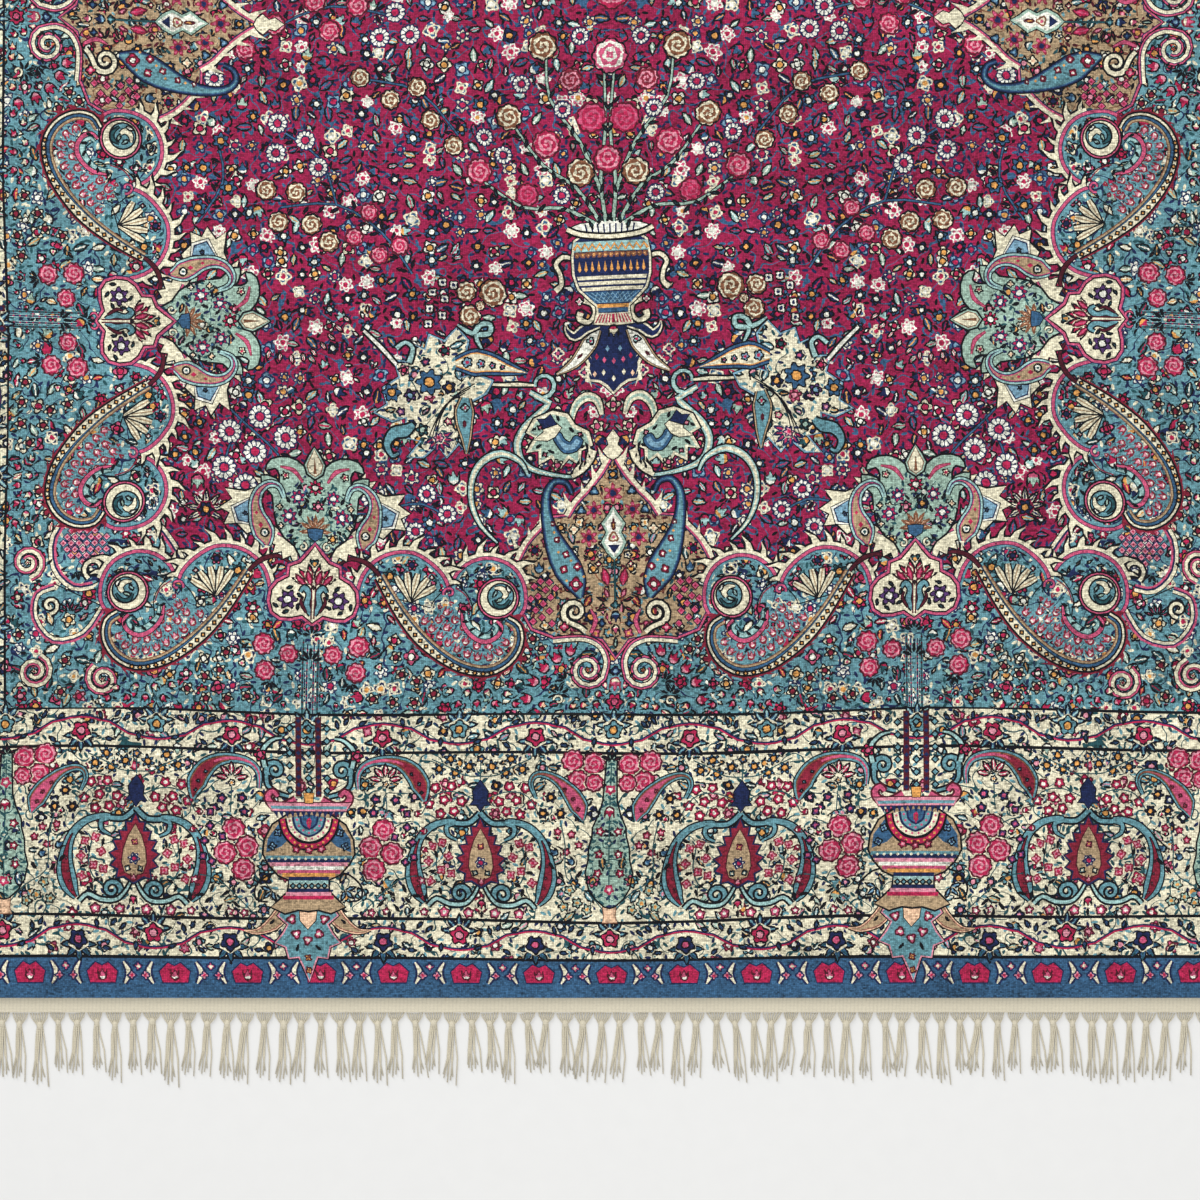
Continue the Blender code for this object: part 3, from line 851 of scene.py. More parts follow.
# %% [markdown]
# ## The corner of the field
# Where the side and the end meet, a weaver fills the gap with a motif that belongs to neither. This one
# is used only once in a quarter, so it is drawn straight in the quarter's own centimetres and isn't put
# down anywhere else.
# %% The corner of the field
def field_corner():
    """The corner's motif: a checked boteh, its spirals and the flowers round them."""
    corner = Chart()
    shell = flow([(34.4, 67.6), (36, 65.2), (38, 63.4), (40.6, 62.7), (42.8, 63.5), (44.4, 65.4),
                  (44.3, 67.8), (42.9, 69.3), (41.4, 69.2)])
    body = shell + [(38.6, 68), (36.2, 68.6)]
    corner.patch(body, ("ink", 0.1), ("teal meadow", 0))
    corner.bands(shell, ("ink", -0.5, 0.1), ("cream", -0.42, -0.16), ("navy", -0.16, 0), ("rose", 0, 0.18))
    checks = [(40.4 + 0.62 * i + 0.31 * (j % 2), 64.4 + 0.5 * j)
              for j in range(7) for i in range(6) if 1 < i + j < 10]
    lozenges(corner, [(x, y) for x, y in checks if (x - 42) ** 2 + (y - 66) ** 2 < 3.6], 0.26,
             "pink crimson navy")
    corner.stem(volute(41.3, 68, 0.9, 0.2, 60, -1.2), 0.14, "cream", "ink")
    fan(corner, 42.7, 68.2, 0.4, 60, 150, 3, "sage pine ink", 0.4, 0.4)
    rosettes = ((37.2, 65.9, 0.62), (37.3, 67.3, 0.62), (38.9, 65.2, 0.5), (39.2, 66.6, 0.5), (36, 66.9, 0.4))
    for x, y, size in rosettes:
        corner.bloom(x, y, size, "crimson ivory wine", petals=6, depth=0.35)
    # A rounded lobe with a red crown, then spirals towards the corner.
    lobe = flow([(40.4, 71.2), (42, 73.4), (44.6, 73.9), (46.2, 72), (46, 69.9), (44.5, 69.2)])
    corner.patch(lobe, ("ink", 0.1), ("teal meadow", 0))
    corner.bands(lobe, ("ink", -0.5, 0.1), ("cream", -0.42, -0.2), ("navy", -0.2, -0.08),
                 ("rose", -0.08, 0.1))
    fan(corner, 43.2, 71.6, 0.7, 200, 340, 6, "crimson rose ink", 0.55, 0.32)
    corner.bloom(43.3, 72.1, 0.7, "cream gold ink")
    corner.stem(volute(44.8, 70.9, 0.7, 0.18, 90, 1.1), 0.12, "cream", "ink")
    for x, y, first, way in ((46.6, 67.4, 100, 1), (46.1, 76.2, 250, -1), (40.6, 76.9, 300, 1)):
        curl = volute(x, y, 1.35, 0.3, first, 1.6 * way)
        corner.bands(curl, ("ink", -0.3, 0.34), ("rose", -0.2, -0.06), ("cream", -0.02, 0.24))
        corner.bloom(x, y, 0.34, "cream brick ink")
        for a in range(0, 360, 60):
            spot = (x + 1.75 * math.cos(math.radians(a)), y + 1.75 * math.sin(math.radians(a)))
            corner.bloom(*spot, 0.32, "sage pine ink", "leaf", 0.42, a + 50)
    filling = ((38.8, 71.6, CREAM_FIVE), (38, 73, CREAM_FIVE), (39.3, 73.3, "ivory gold ink"),
               (47.3, 73.2, CREAM_FIVE), (47.4, 70.2, "crimson cream ink"), (43.6, 75.4, CREAM_FIVE),
               (47.2, 78.2, "crimson pink ink"), (44, 77.9, CREAM_FIVE), (42.5, 78.3, BRIGHT_ROSE),
               (45.2, 63.4, CREAM_FIVE), (46.6, 64.6, CREAM_FIVE), (47.4, 62.7, "crimson ivory ink"),
               (45.9, 61.7, CREAM_FIVE))
    for x, y, yarns in filling:
        corner.bloom(x, y, 0.62, yarns, depth=0.32)
    return corner


CORNER = field_corner()
print("the corner has", len(CORNER.areas), "areas")

# %% [markdown]
# ## The vase in the red field
# A vase stands on the middle line, at each end of the red ground. It is striped like painted metalwork,
# with scalloped bands, a lattice and a ribbed foot, and a dark pendant hangs under it between two pale
# botehs. It is drawn with its own origin at the middle of its rim, and downwards is towards the end of
# the rug.
# %% The vase and its pendant
def field_vase():
    """The whole vase and the pendant under it."""
    vase = Chart()
    pendant = [(0, 7.2), (1, 7.5), (1.9, 8.3), (2.4, 9.6), (1.9, 10.8), (1.95, 12), (1.1, 12.1),
               (0.5, 12.5), (0, 13.1)]
    vase.patch(mirrored(pendant), ("ink", 0.3), ("cream", 0.2), ("navy", 0))
    vase.thorns(flow([(2.5, 9.3), (2.2, 10.8), (2.2, 12.2)]), 0.3, 0.7, "cream", 0.1)
    vase.thorns(flow([(-2.2, 12.2), (-2.2, 10.8), (-2.5, 9.3)]), 0.3, 0.7, "cream", 0.1)
    drops = ((0, 10.6, "rose"), (0.75, 10.5, "rose"), (-0.75, 10.5, "rose"), (1.35, 10.2, "crimson"),
             (-1.35, 10.2, "crimson"), (0, 12, "cream"), (0.8, 11.5, "cream"), (-0.8, 11.5, "cream"),
             (1.5, 11.6, "peach"), (-1.5, 11.6, "peach"), (0.5, 9.6, "sky"), (-0.5, 9.6, "sky"))
    for x, y, yarn in drops:
        vase.fill(oval(x, y, 0.16, 0.26, 4), yarn)
    for side in (-1, 1):
        boteh = flow([(1.25 * side, 8), (1.75 * side, 8.8), (2.4 * side, 9.8), (3.2 * side, 10.7),
                      (4.5 * side, 11.5)])
        vase.boteh(boteh, (0.3, 0.62, 0.52, 0.34, 0.08), ("ink", -0.11), ("sand", 0), ("ink", 0.1),
                   ("ivory", 0.15))
        vase.bloom(1.85 * side, 8.9, 0.4, "aqua crimson ink", petals=3)
        vase.bloom(2.7 * side, 10.1, 0.34, "crimson ivory wine", "leaf", 0.42, 90 - 45 * side)
        hook = flow([(1.1 * side, 7.7), (2.2 * side, 7.9), (3.1 * side, 8.5), (3.7 * side, 8),
                     (3.8 * side, 7.5)])
        vase.stem(hook, (0.2, 0.4, 0.42, 0.3, 0.06), "cream", "ink")
        vase.stem(hook, (0.1, 0.26, 0.28, 0.16, 0), "navy")
        handle = flow([(3.0 * side, 2.3), (3.9 * side, 2.1), (4.5 * side, 2.7), (4.2 * side, 3.4),
                       (4.1 * side, 4.3), (4.6 * side, 4.8)])
        vase.stem(handle, (0.12, 0.16, 0.16, 0.14, 0.16, 0.22), "cream", "ink")
        curl = flow([(2.3 * side, 5.5), (1.6 * side, 6), (1.5 * side, 6.8), (2.0 * side, 7.4),
                     (2.7 * side, 7.1), (2.6 * side, 6.6)])
        vase.stem(curl, (0.35, 0.2, 0.14, 0.14, 0.2, 0.26), "cream", "ink")
        vase.bloom(2.7 * side, 5.7, 0.42, "ivory pink ink", petals=4)
    body = [(0, 0.3), (2, 0.3), (2.9, 0.9), (3.1, 2.2), (3.05, 3.6), (2.7, 4.7), (1.8, 5.6), (1.25, 6.1),
            (1.2, 6.6)]
    body += [(1.5, 7.5), (0, 7.6)]
    vase.patch(mirrored(body), ("ink", 0.24), ("cream", 0.14), ("navy", -0.03))
    vase.patch(mirrored([(0, 6.75), (1.2, 6.7), (1.5, 7.5), (0, 7.6)]), ("cream", 0))
    for i in range(-5, 6):
        vase.fill([(0.2 * i, 6.8), (0.2 * i + 0.1, 6.8), (0.27 * i + 0.13, 7.5), (0.27 * i, 7.5)], "crimson")
    vase.fill([(-1.2, 6.3), (1.2, 6.3), (1.2, 6.65), (-1.2, 6.65)], "blue")
    vase.fill([(-1.3, 6), (1.3, 6), (1.25, 6.3), (-1.25, 6.3)], "gold")
    vase.patch(mirrored([(0, 5), (2.3, 5), (1.4, 5.9), (0, 5.95)]), ("blue", 0))
    for i in range(-4, 5):
        for lean in (-0.45, 0.45):
            vase.stem([(0.42 * i - lean, 5.05), (0.42 * i * 0.75 + lean * 0.6, 5.9)], 0.03, "sky")
    for y, wide in ((3.85, 2.85), (4.3, 2.75), (4.75, 2.5)):
        vase.fill([(-wide, y - 0.13), (wide, y - 0.13), (wide - 0.1, y + 0.15), (0.1 - wide, y + 0.15)],
                  "cream")
    for i in range(-5, 6):
        vase.fill([(0.52 * i - 0.14, 3.2), (0.52 * i, 2.5), (0.52 * i + 0.14, 3.2), (0.52 * i, 3.4)], "gold")
    vase.fill([(-3, 0.95), (3, 0.95), (3.05, 1.75), (-3.05, 1.75)], "aqua")
    zigzag = [(-3.0 + 0.3 * i, 1.15 if i % 2 else 1.6) for i in range(21)]
    vase.stem(zigzag, 0.08, "gold", "brown", 0.05)
    for i in range(-6, 7):
        vase.bloom(0.46 * i, 2, 0.27, "peach gold brown", petals=3, depth=0.2, turn=90)
    lip = flow([(-3.5, -0.1), (-2.4, 0.35), (0, 0.6), (2.4, 0.35), (3.5, -0.1)])
    vase.patch(lip + [(2.4, -0.5), (0, -0.7), (-2.4, -0.5)], ("ink", 0.1), ("ivory", 0))
    for i in range(-4, 5):
        vase.stem([(0.5 * i, -0.45), (0.46 * i, 0.3)], 0.07, "navy")
    vase.stem(lip, 0.16, "cream", "ink")
    vase.bloom(0, 8.2, 0.62, "cream crimson ink", "bud", turn=90)
    return vase


def vase_bouquet():
    """The right half of the flowers that rise from the vase, towards the middle of the rug."""
    half = Chart()
    stems = (((0.3, -0.6), (0.6, -4), (0.2, -8), (0.4, -13)),
             ((0.8, -0.6), (2.6, -3.4), (5.2, -5.2), (7.4, -8.2)),
             ((1.2, -0.5), (3.8, -1.8), (7, -1.9), (10.2, -4)),
             ((0.6, -3), (2.2, -7), (4.6, -10.4), (5, -14)))
    for line in stems:
        half.stem(flow(line), (0.14, 0.1, 0.07), "sage", "ink", 0.08)
        for x, y, a in walk(flow(line), 1.7):
            half.bloom(x + 0.4, y, 0.5, "aqua pine ink", "leaf", 0.36, math.degrees(a) + 40)
            half.bloom(x - 0.4, y + 0.5, 0.5, "sage pine ink", "leaf", 0.36, math.degrees(a) - 40)
    roses = ((2.2, -4.6, 1.25, CREAM_ROSE), (4.9, -6.9, 1.2, BRIGHT_ROSE),
             (1.3, -8.9, 1.3, "rose crimson wine"), (7.9, -9, 1.15, CREAM_ROSE),
             (10.4, -4.7, 1.1, BRIGHT_ROSE), (5.3, -14.6, 1.25, CREAM_ROSE),
             (6.6, -2.9, 1, "rose crimson wine"), (3, -12, 1, "pink brick wine"))
    for x, y, size, yarns in roses:
        half.bloom(x, y, size, yarns, "rose", turn=x * 40)
    for x, y in ((3.8, -2.8), (8.4, -6), (6.9, -11.6), (2.4, -15.4), (9.9, -7.4), (3.6, -9.6)):
        half.bloom(x, y, 0.8, DAISY, "daisy")
    return half


VASE = field_vase()
VASE.both(vase_bouquet())
VASE.bloom(0, -13.8, 1.5, "ivory rose ink", "rose")
VASE.bloom(0, -5.6, 1.2, BRIGHT_ROSE, "rose")
print("the vase has", len(VASE.areas), "areas")

# %% [markdown]
# ## Scrolls, leaves and sprays of the field
# Cream scrolls swing out from under the vase and hold the palmettes apart. Beside them lies a great torn
# cream leaf full of blue and red flowers. Everything between is millefleur, the field of a thousand
# flowers: sprays of five or six equal blooms on thin blue stems, which are drawn once and scattered with
# leaves between.
# %% Scrolls below the vase
def scrolls():
    """The right half, in the quarter's own centimetres."""
    half = Chart()
    big = volute(5.6, 52.8, 0.6, 1.15, 10, -0.95)
    big += flow([(5, 54.3), (6, 55.2), (7, 56.2), (7.6, 57.4), (7.3, 58.8), (6.3, 59.6), (4.6, 60.1),
                 (3.2, 60.3)], 3)
    half.stem(big, (0.1, 0.14, 0.17, 0.22, 0.3, 0.26, 0.16, 0.1), "aqua", "ink", 0.14)
    half.stem(big, (0, 0, 0.04, 0.09, 0.15, 0.1, 0.04, 0), "cream")
    side = flow([(6.8, 60), (7.4, 58.9), (8.9, 58.2), (10.4, 58.8), (11.3, 60.2), (11.4, 62.2), (10.7, 64),
                 (9.4, 65.4)], 3)
    half.stem(side, (0.08, 0.2, 0.28, 0.24, 0.2, 0.18, 0.12, 0.06), "aqua", "ink", 0.14)
    half.stem(side, (0, 0.09, 0.15, 0.12, 0.08, 0.06, 0), "cream")
    arch = flow([(0.9, 55.4), (1.3, 54.2), (2.2, 53.9), (3, 54.6), (3.3, 55.8), (3.1, 56.6)])
    half.stem(arch, (0.14, 0.28, 0.36, 0.3, 0.2, 0.1), "cream", "ink", 0.12)
    half.stem(arch, (0, 0.1, 0.16, 0.12, 0), "sage")
    half.bloom(1.25, 56.3, 0.66, "cream rose ink")
    half.bloom(2.2, 55.3, 0.36, "sage pine ink", "leaf", 0.42, 60)
    # A torn cream leaf with a blue one inside each scroll, and a calla above them.
    torn = [(1.9, 56.7), (3, 56.1), (3.6, 55.2), (4.8, 54.9), (6.3, 55.5), (6.9, 56.6), (6.2, 57),
            (6.9, 58.2), (5.9, 58.1), (5.9, 59.2), (4.9, 58.7), (4.3, 59.7), (3.5, 58.8), (2.6, 59.4),
            (2.5, 58.2), (1.6, 57.8)]
    half.patch(torn, ("ink", 0.15), ("cream", 0), ("sage", -0.3))
    several(half, [(6.2, 56.3), (5.9, 57.7), (4.9, 58.2), (2.5, 57.9), (3.3, 56.5), (4.4, 55.5)], 0.34,
            "blue sky ink", "leaf", 0.42)
    several(half, [(5.4, 58.4), (2.6, 56.9), (5.8, 56.2)], 0.3, "crimson pink ink", petals=4)
    leaf = flow([(4.6, 57.4), (3.9, 58.3), (2.9, 58.2), (2.4, 57.4), (3, 57), (3.4, 57.5), (3.9, 57.2),
                 (4.2, 56.7), (4.9, 56.8)], 3)
    half.patch(leaf, ("ink", 0.1), ("blue", 0), ("sky", -0.22))
    calla = [(4.1, 56.3), (4.9, 55.6), (5.6, 55.9), (5.5, 56.6), (6.3, 57.2), (5.2, 57.3), (4.6, 57)]
    half.patch(calla, ("ink", 0.1), ("cream", 0))
    half.patch([(4.5, 56), (5, 55.2), (5.4, 55.6), (6, 55.5), (5.5, 56.3)], ("ink", 0.1), ("navy", 0))
    thorny = flow([(3.2, 60.4), (2.3, 59.9), (1.6, 59.1), (1.3, 58.3)])
    half.flame(thorny, 0.3, 0.4, 0.8)
    half.bloom(4.4, 59.3, 0.55, "cream rose ink")
    half.bloom(0, 54.6, 0.7, "cream rose ink", petals=4, depth=0.35)
    # A cream line runs out to the great leaf.
    link_line = flow([(6.3, 52.8), (7.6, 52.7), (9, 52.7), (10.2, 52.6)])
    half.stem(link_line, (0.08, 0.14, 0.1, 0.08), "cream", "ink")
    for x, y in ((2.9, 52.4), (3.9, 52), (3.3, 53.2), (4.5, 54)):
        half.bloom(x, y, 0.5, "cream sage ink", "leaf", 0.44, x * 70)
    for x, y in ((3.6, 51.2), (2.3, 51.9), (4.4, 50.3)):
        half.bloom(x, y, 0.5, "navy rose cream", petals=4, depth=0.28)
    return half


print("the scrolls take", len(scrolls().areas), "areas")

# %% [markdown]
# ## The great torn leaf
# The leaf's outline is jagged, as if its own flowers had torn it. A long teardrop with a row of small
# flowers crosses it, and a second one hangs inside.
# %% The great torn leaf
def great_leaf():
    """The torn cream leaf with its flowers, in the quarter's own centimetres."""
    leaf = Chart()
    mass = [(9.6, 52.4), (11, 51.9), (12.3, 52.2), (11.9, 50.6), (11.6, 49.2), (12.4, 48.2), (13.4, 49.3),
            (14.6, 48.8), (14.9, 50), (15.8, 49.6), (16, 51), (17.3, 50.9), (16.9, 52.2), (18.2, 53.1),
            (17.9, 54.4), (19, 55), (17.6, 55.6), (16.4, 55.3), (16.5, 56.9), (15.3, 57.2), (16.4, 58.5),
            (15.2, 58.4), (14, 57.4), (13.3, 58.4), (12.3, 57.3), (11.6, 58.2), (11.9, 56.4), (12.2, 54.8),
            (11.2, 53.9), (10.1, 53.3)]
    leaf.patch(mass, ("ink", 0.26), ("sky", 0.16), ("cream meadow", 0))
    crest = flow([(10.4, 49.9), (10.9, 48.8), (9.9, 48.6), (9.8, 47.9), (10.6, 47.9), (11.2, 48.6),
                  (12.4, 47.9)], 3)
    leaf.stem(crest, (0.06, 0.16, 0.2, 0.16, 0.2, 0.16, 0.06), "aqua", "ink")
    boteh = flow([(6.8, 51.8), (8.4, 51.4), (9.9, 51), (11.3, 50.9), (12.5, 51)])
    leaf.boteh(boteh, (0.06, 0.5, 0.85, 1.1, 0.5), ("ink", -0.12), ("blue", 0), ("navy", 0.16),
               ("gold", 0.26), ("cream", 0.36))
    for x, y, size in ((11.6, 50.9, 0.5), (10.5, 51, 0.42), (9.6, 51.15, 0.34), (8.8, 51.3, 0.28)):
        leaf.bloom(x, y, size, "sky crimson ink", depth=0.25)
    hanging = flow([(11.7, 53.7), (11.8, 54.7), (11.8, 55.8), (11.7, 56.9), (11.7, 58.2)])
    leaf.boteh(hanging, (0.4, 0.78, 0.62, 0.36, 0.06), ("ink", -0.12), ("sand", 0), ("ink", 0.1),
               ("teal", 0.16))
    leaf.bloom(11.75, 54.5, 0.42, "aqua crimson ink", petals=4)
    leaf.bloom(11.8, 55.8, 0.36, "crimson rose wine", "leaf", 0.45, 90)
    flowers = ((14.6, 52.5, 1.15, "blue gold ink", 7), (17.6, 53.4, 0.85, "blue gold ink", 6),
               (13, 52.9, 0.62, "navy gold ink", 5), (16.1, 53.6, 0.6, "plum sky ink", 5),
               (13.4, 50, 0.55, "crimson pine ink", 5), (14.9, 50.9, 0.45, "navy rose ink", 5),
               (16.6, 51.6, 0.55, "pink crimson ink", 5), (15.2, 56.3, 0.6, "pine sage ink", 5),
               (16.9, 54.9, 0.45, "plum pink ink", 5), (13.1, 55.6, 0.42, "rose cream ink", 5))
    for x, y, size, yarns, petals in flowers:
        leaf.bloom(x, y, size, yarns, petals=petals)
    carnation = (13.9, 56.9)
    fan(leaf, *carnation, 0.75, 20, 200, 7, "rose crimson navy", 0.62, 0.36)
    leaf.bloom(*carnation, 0.5, "pink crimson navy", petals=6)
    for a in (0, 0.35, 0.7):
        vein = flow([(11.0 + a, 52.6 + a), (12.6 + a, 53.6 + a), (13.7 + a * 0.8, 55.2 + a),
                     (14.2 + a, 57.4)])
        leaf.stem(vein, (0.05, 0.07, 0.03), "ink")
    teal_hook = flow([(15.9, 55.9), (16.6, 56.4), (17.5, 56.6), (18.1, 57.5), (17.7, 58.4), (17.2, 58.2)])
    leaf.stem(teal_hook, (0.2, 0.45, 0.4, 0.26, 0.16, 0.08), "teal", "ink")
    wand = flow([(17.2, 51.2), (18.4, 49.9), (19.8, 48.6)])
    leaf.stem(wand, (0.12, 0.14, 0.1), "ivory", "ink")
    wand_leaves = ((19.9, 47.4), (20.4, 48.9), (20.9, 50.1), (21, 51.4), (20.4, 52.5), (20, 53.7),
                   (19.5, 46.9), (18.9, 51.3))
    for x, y in wand_leaves:
        leaf.bloom(x, y, 0.42, "ivory navy ink", "leaf", 0.5, x * 60)
    curl = flow([(16.2, 51), (15.9, 49.9), (16.5, 49.4), (17.2, 49.9)])
    leaf.stem(curl, (0.2, 0.16, 0.12, 0.16), "aqua", "ink")
    for x, y, size in ((9.6, 45.4, 1.25), (11.7, 45.3, 0.95), (11.4, 47.2, 1), (10.6, 46.4, 0.5)):
        leaf.bloom(x, y, size, CREAM_ROSE, "rose", turn=x * 30)
    stars = ((12.7, 44.8), (13.6, 44.6), (14.4, 45.4), (13.4, 45.9), (14.6, 46.7), (13.6, 47.2), (14.7, 47.9))
    for x, y in stars:
        leaf.bloom(x, y, 0.48, "ivory navy ink", petals=4, depth=0.2, turn=45)
    return leaf


GREAT_LEAF = great_leaf()
SCROLLS = scrolls()
print("scrolls and great leaf have", len(SCROLLS.areas), "and", len(GREAT_LEAF.areas), "areas")
# %% [markdown]
# ## Sprays on the red ground
# The bigger flowers of the field follow stems, in groups of a kind: daisies, cabbage roses, small stars.
# A row of places and one size for each group is enough, because the eye reads the group and not the
# single flower.
# %% Sprays on the red ground
def field_sprays():
    """Daisies, garlands and clusters set one by one on the red ground, in the quarter's centimetres."""
    sprays = Chart()
    branches = (((33.5, 50), (32, 53.5), (29.8, 56), (27, 58.6), (25.4, 61.6)),
                ((29.8, 56), (31, 58.4), (31.4, 61)), ((16, 44), (18.4, 40.8), (22, 38.6), (26.4, 38.8)),
                ((22, 38.6), (23.2, 35), (26, 32.8)), ((30, 27), (26, 24), (22, 22.6), (17.6, 23.4)),
                ((12, 33), (15, 29.6), (19, 28.6)), ((33, 40), (31, 36.6), (31.6, 33)),
                ((20.8, 60.6), (18.4, 62.4), (15.4, 62.2), (12.9, 63.6)))
    for line in branches:
        sprays.stem(flow(line), 0.07, "blue", "ink", 0.06)
        for x, y, a in walk(flow(line), 1.25):
            for side in (-1, 1):
                spot = (x - 0.5 * side * math.sin(a), y + 0.5 * side * math.cos(a))
                sprays.bloom(*spot, 0.46, "sage navy ink" if side > 0 else "blue navy ink", "leaf", 0.38,
                             math.degrees(a) + 50 * side)
    several(sprays, [(28.3, 55.7), (30.8, 56.9), (26.3, 57.3), (28.8, 58.5), (31.3, 59.8), (26, 60.2),
                     (29.6, 61.2)], 1.06, DAISY, "daisy")
    several(sprays, [(33.2, 56.2), (34.4, 57.4), (33.6, 58.6), (35.2, 58.8), (34, 54.8)], 0.62,
            "blue gold ink", petals=4)
    several(sprays, [(24, 40.2), (26.6, 40), (25.2, 37.6), (22.6, 41.6), (27.6, 37.4)], 0.95, CREAM_ROSE,
            "rose")
    several(sprays, [(17, 41.8), (19.4, 39.2), (18.6, 42.6), (20.6, 41.2)], 0.8, BRIGHT_ROSE, "rose")
    several(sprays, [(24.4, 33.4), (26.6, 32), (26.8, 34.4), (23.4, 35.6)], 0.9, DAISY, "daisy")
    several(sprays, [(20, 22.6), (23.4, 22.2), (22.2, 24.6), (26.6, 24), (29, 26)], 0.95, BRIGHT_ROSE, "rose")
    several(sprays, [(17, 23.2), (18.2, 25.2), (15.8, 25), (31.6, 28.4)], 0.9, DAISY, "daisy")
    several(sprays, [(12.4, 33.8), (15.2, 29.2), (17.4, 30.2), (19.8, 28.4), (14.2, 31.8)], 0.9, CREAM_ROSE,
            "rose")
    several(sprays, [(33, 38.8), (30.6, 37.2), (32.6, 35.6), (31.2, 33.4)], 0.78, "blue gold ink", petals=6)
    several(sprays, [(19.6, 61.8), (17.4, 63.2), (15, 61.4), (13.4, 63), (16, 64.4)], 0.86, DAISY, "daisy",
            0.14, petals=10)
    garland = flow([(20.8, 47.4), (24.2, 50.8), (28.4, 50.4), (31.6, 47.6)])
    sprays.stem(garland, 0.06, "navy")
    for x, y, a in walk(garland, 0.95):
        sprays.bloom(x, y, 0.5, "ivory crimson ink", "leaf", 0.5, math.degrees(a) + 90)
    iris = (32.7, 63.2)
    fan(sprays, *iris, 0.9, 150, 390, 7, "cream navy ink", 0.9, 0.34)
    sprays.bloom(*iris, 0.7, "navy gold ink", petals=6)
    sprays.bloom(33.4, 61, 0.8, "sage rose ink", "bud", turn=90)
    roses = ((0, 21.6, 1.5), (0, 16.4, 1.2), (0, 5, 1.6), (6.2, 12.4, 1.2), (11.8, 8.6, 1.3),
             (17.2, 13, 1.1), (9.2, 2.4, 1.2), (4.4, 0, 1), (24.6, 8, 1.2), (30.2, 14.6, 1.2),
             (26.2, 16.8, 1), (14.2, 17.6, 1.1))
    for x, y, size in roses:
        sprays.bloom(x, y, size, BRIGHT_ROSE if x % 2 < 1 else CREAM_ROSE, "rose", turn=x * 40)
    return sprays


print("the red ground has", len(field_sprays().areas), "areas of its own")

# %% [markdown]
# ## Motifs of the borders
# The main border repeats a cypress, an arched medallion and a large vase, with roses, buds and small
# botehs on a cream ground. Each motif is drawn with its own origin on the field's edge: u runs along the
# border and w out from the field. A narrow guard border with a wavy vine lies on each side of it.
# %% The cypress between two medallions
def cypress_side():
    """Roses and a small bent boteh to the right of the tree."""
    half = Chart()
    several(half, [(1.4, 3.9), (3.05, 3.7), (2.6, 5.3)], 0.98, BRIGHT_ROSE, "rose")
    several(half, [(1.3, 5.4)], 0.8, BRIGHT_ROSE, "rose")
    spine = flow([(5.9, 6.6), (6.3, 5.6), (6, 4.9), (5.2, 4.8), (4.1, 5.3), (3.1, 6.3), (2.4, 7.4),
                  (2.1, 8.4)])
    half.boteh(spine, (0.1, 0.16, 0.22, 0.3, 0.45, 0.68, 0.72, 0.1), ("ink", -0.1), ("teal", 0),
               ("ink", 0.12), ("brown", 0.16), ("rose", 0.26))
    several(half, [(2.9, 6.7), (2.5, 7.5), (3.6, 6)], 0.24, "ivory brick wine", petals=4)
    several(half, [(4.7, 6.6), (5.3, 7.9), (3.9, 7.9)], 0.52, "navy gold ink", petals=6)
    several(half, [(4.1, 9.3), (3, 9.5), (2.4, 10.3), (3.4, 10.9)], 0.4, "crimson pink wine")
    several(half, [(3.1, 11.6), (4.4, 10.9)], 0.5, "blue sky ink", "bud")
    several(half, [(2.4, 12.6), (3.9, 12.7), (4.6, 12)], 0.42, "wine sky ink", "leaf")
    several(half, [(3.2, 13.9), (3.7, 15.2), (1.8, 15.4), (2.6, 14.9)], 0.5, "sage gold ink")
    half.stem(flow([(0.2, 15.8), (1.6, 14.2), (3.4, 12.9), (3.5, 10.4), (3.9, 8.4)]), 0.05, "pine")
    return half


def cypress():
    """The whole tree with what stands on both sides of it."""
    whole = Chart()
    whole.both(cypress_side())
    outline = [(0, 2.9), (0.35, 3.6), (0.42, 5.4), (0.5, 6.8), (0.8, 7.9), (1.25, 8.9), (1.3, 9.6),
               (1.55, 10.5), (1.6, 11.5), (1.85, 12.5), (1.6, 13.7), (1.1, 14.5), (0.4, 15.1), (0, 15.2)]
    whole.patch([(-0.55, 15), (0.55, 15), (0.42, 15.9), (0.6, 16.4), (-0.6, 16.4), (-0.42, 15.9)],
                ("brown", 0.08), ("peach", 0))
    whole.patch(mirrored(outline), ("ink", 0.14), ("sage meadow", 0))
    for x, y, _ in walk(flow([(0.2, 3.4), (0.3, 6.6), (1, 9), (1.4, 12), (1.2, 14)]), 0.55):
        for side in (-1, 1):
            whole.bloom(x * side, y, 0.2, "pine aqua pine", "leaf", 0.5, 90 - 50 * side)
    whole.stem([(0, 4), (0, 14.8)], 0.05, "pine")
    several(whole, [(0, 5.9), (0, 13.8)], 0.46, "rose ivory crimson")
    several(whole, [(0, 7.7)], 0.6, "crimson ivory wine", "bud", turn=90)
    several(whole, [(0.72, 9.2), (-0.72, 9.2), (0.78, 11), (-0.78, 11), (0.9, 12.5), (-0.9, 12.5)], 0.42,
            "crimson ivory wine")
    several(whole, [(0, 10.1), (0, 11.9)], 0.34, "teal cream pine", petals=4)
    fan(whole, 0, 3.6, 0.5, 200, 340, 3, "crimson wine ink", 0.5, 0.36)
    return whole


CYPRESS = cypress()
print("a cypress has", len(CYPRESS.areas), "areas")

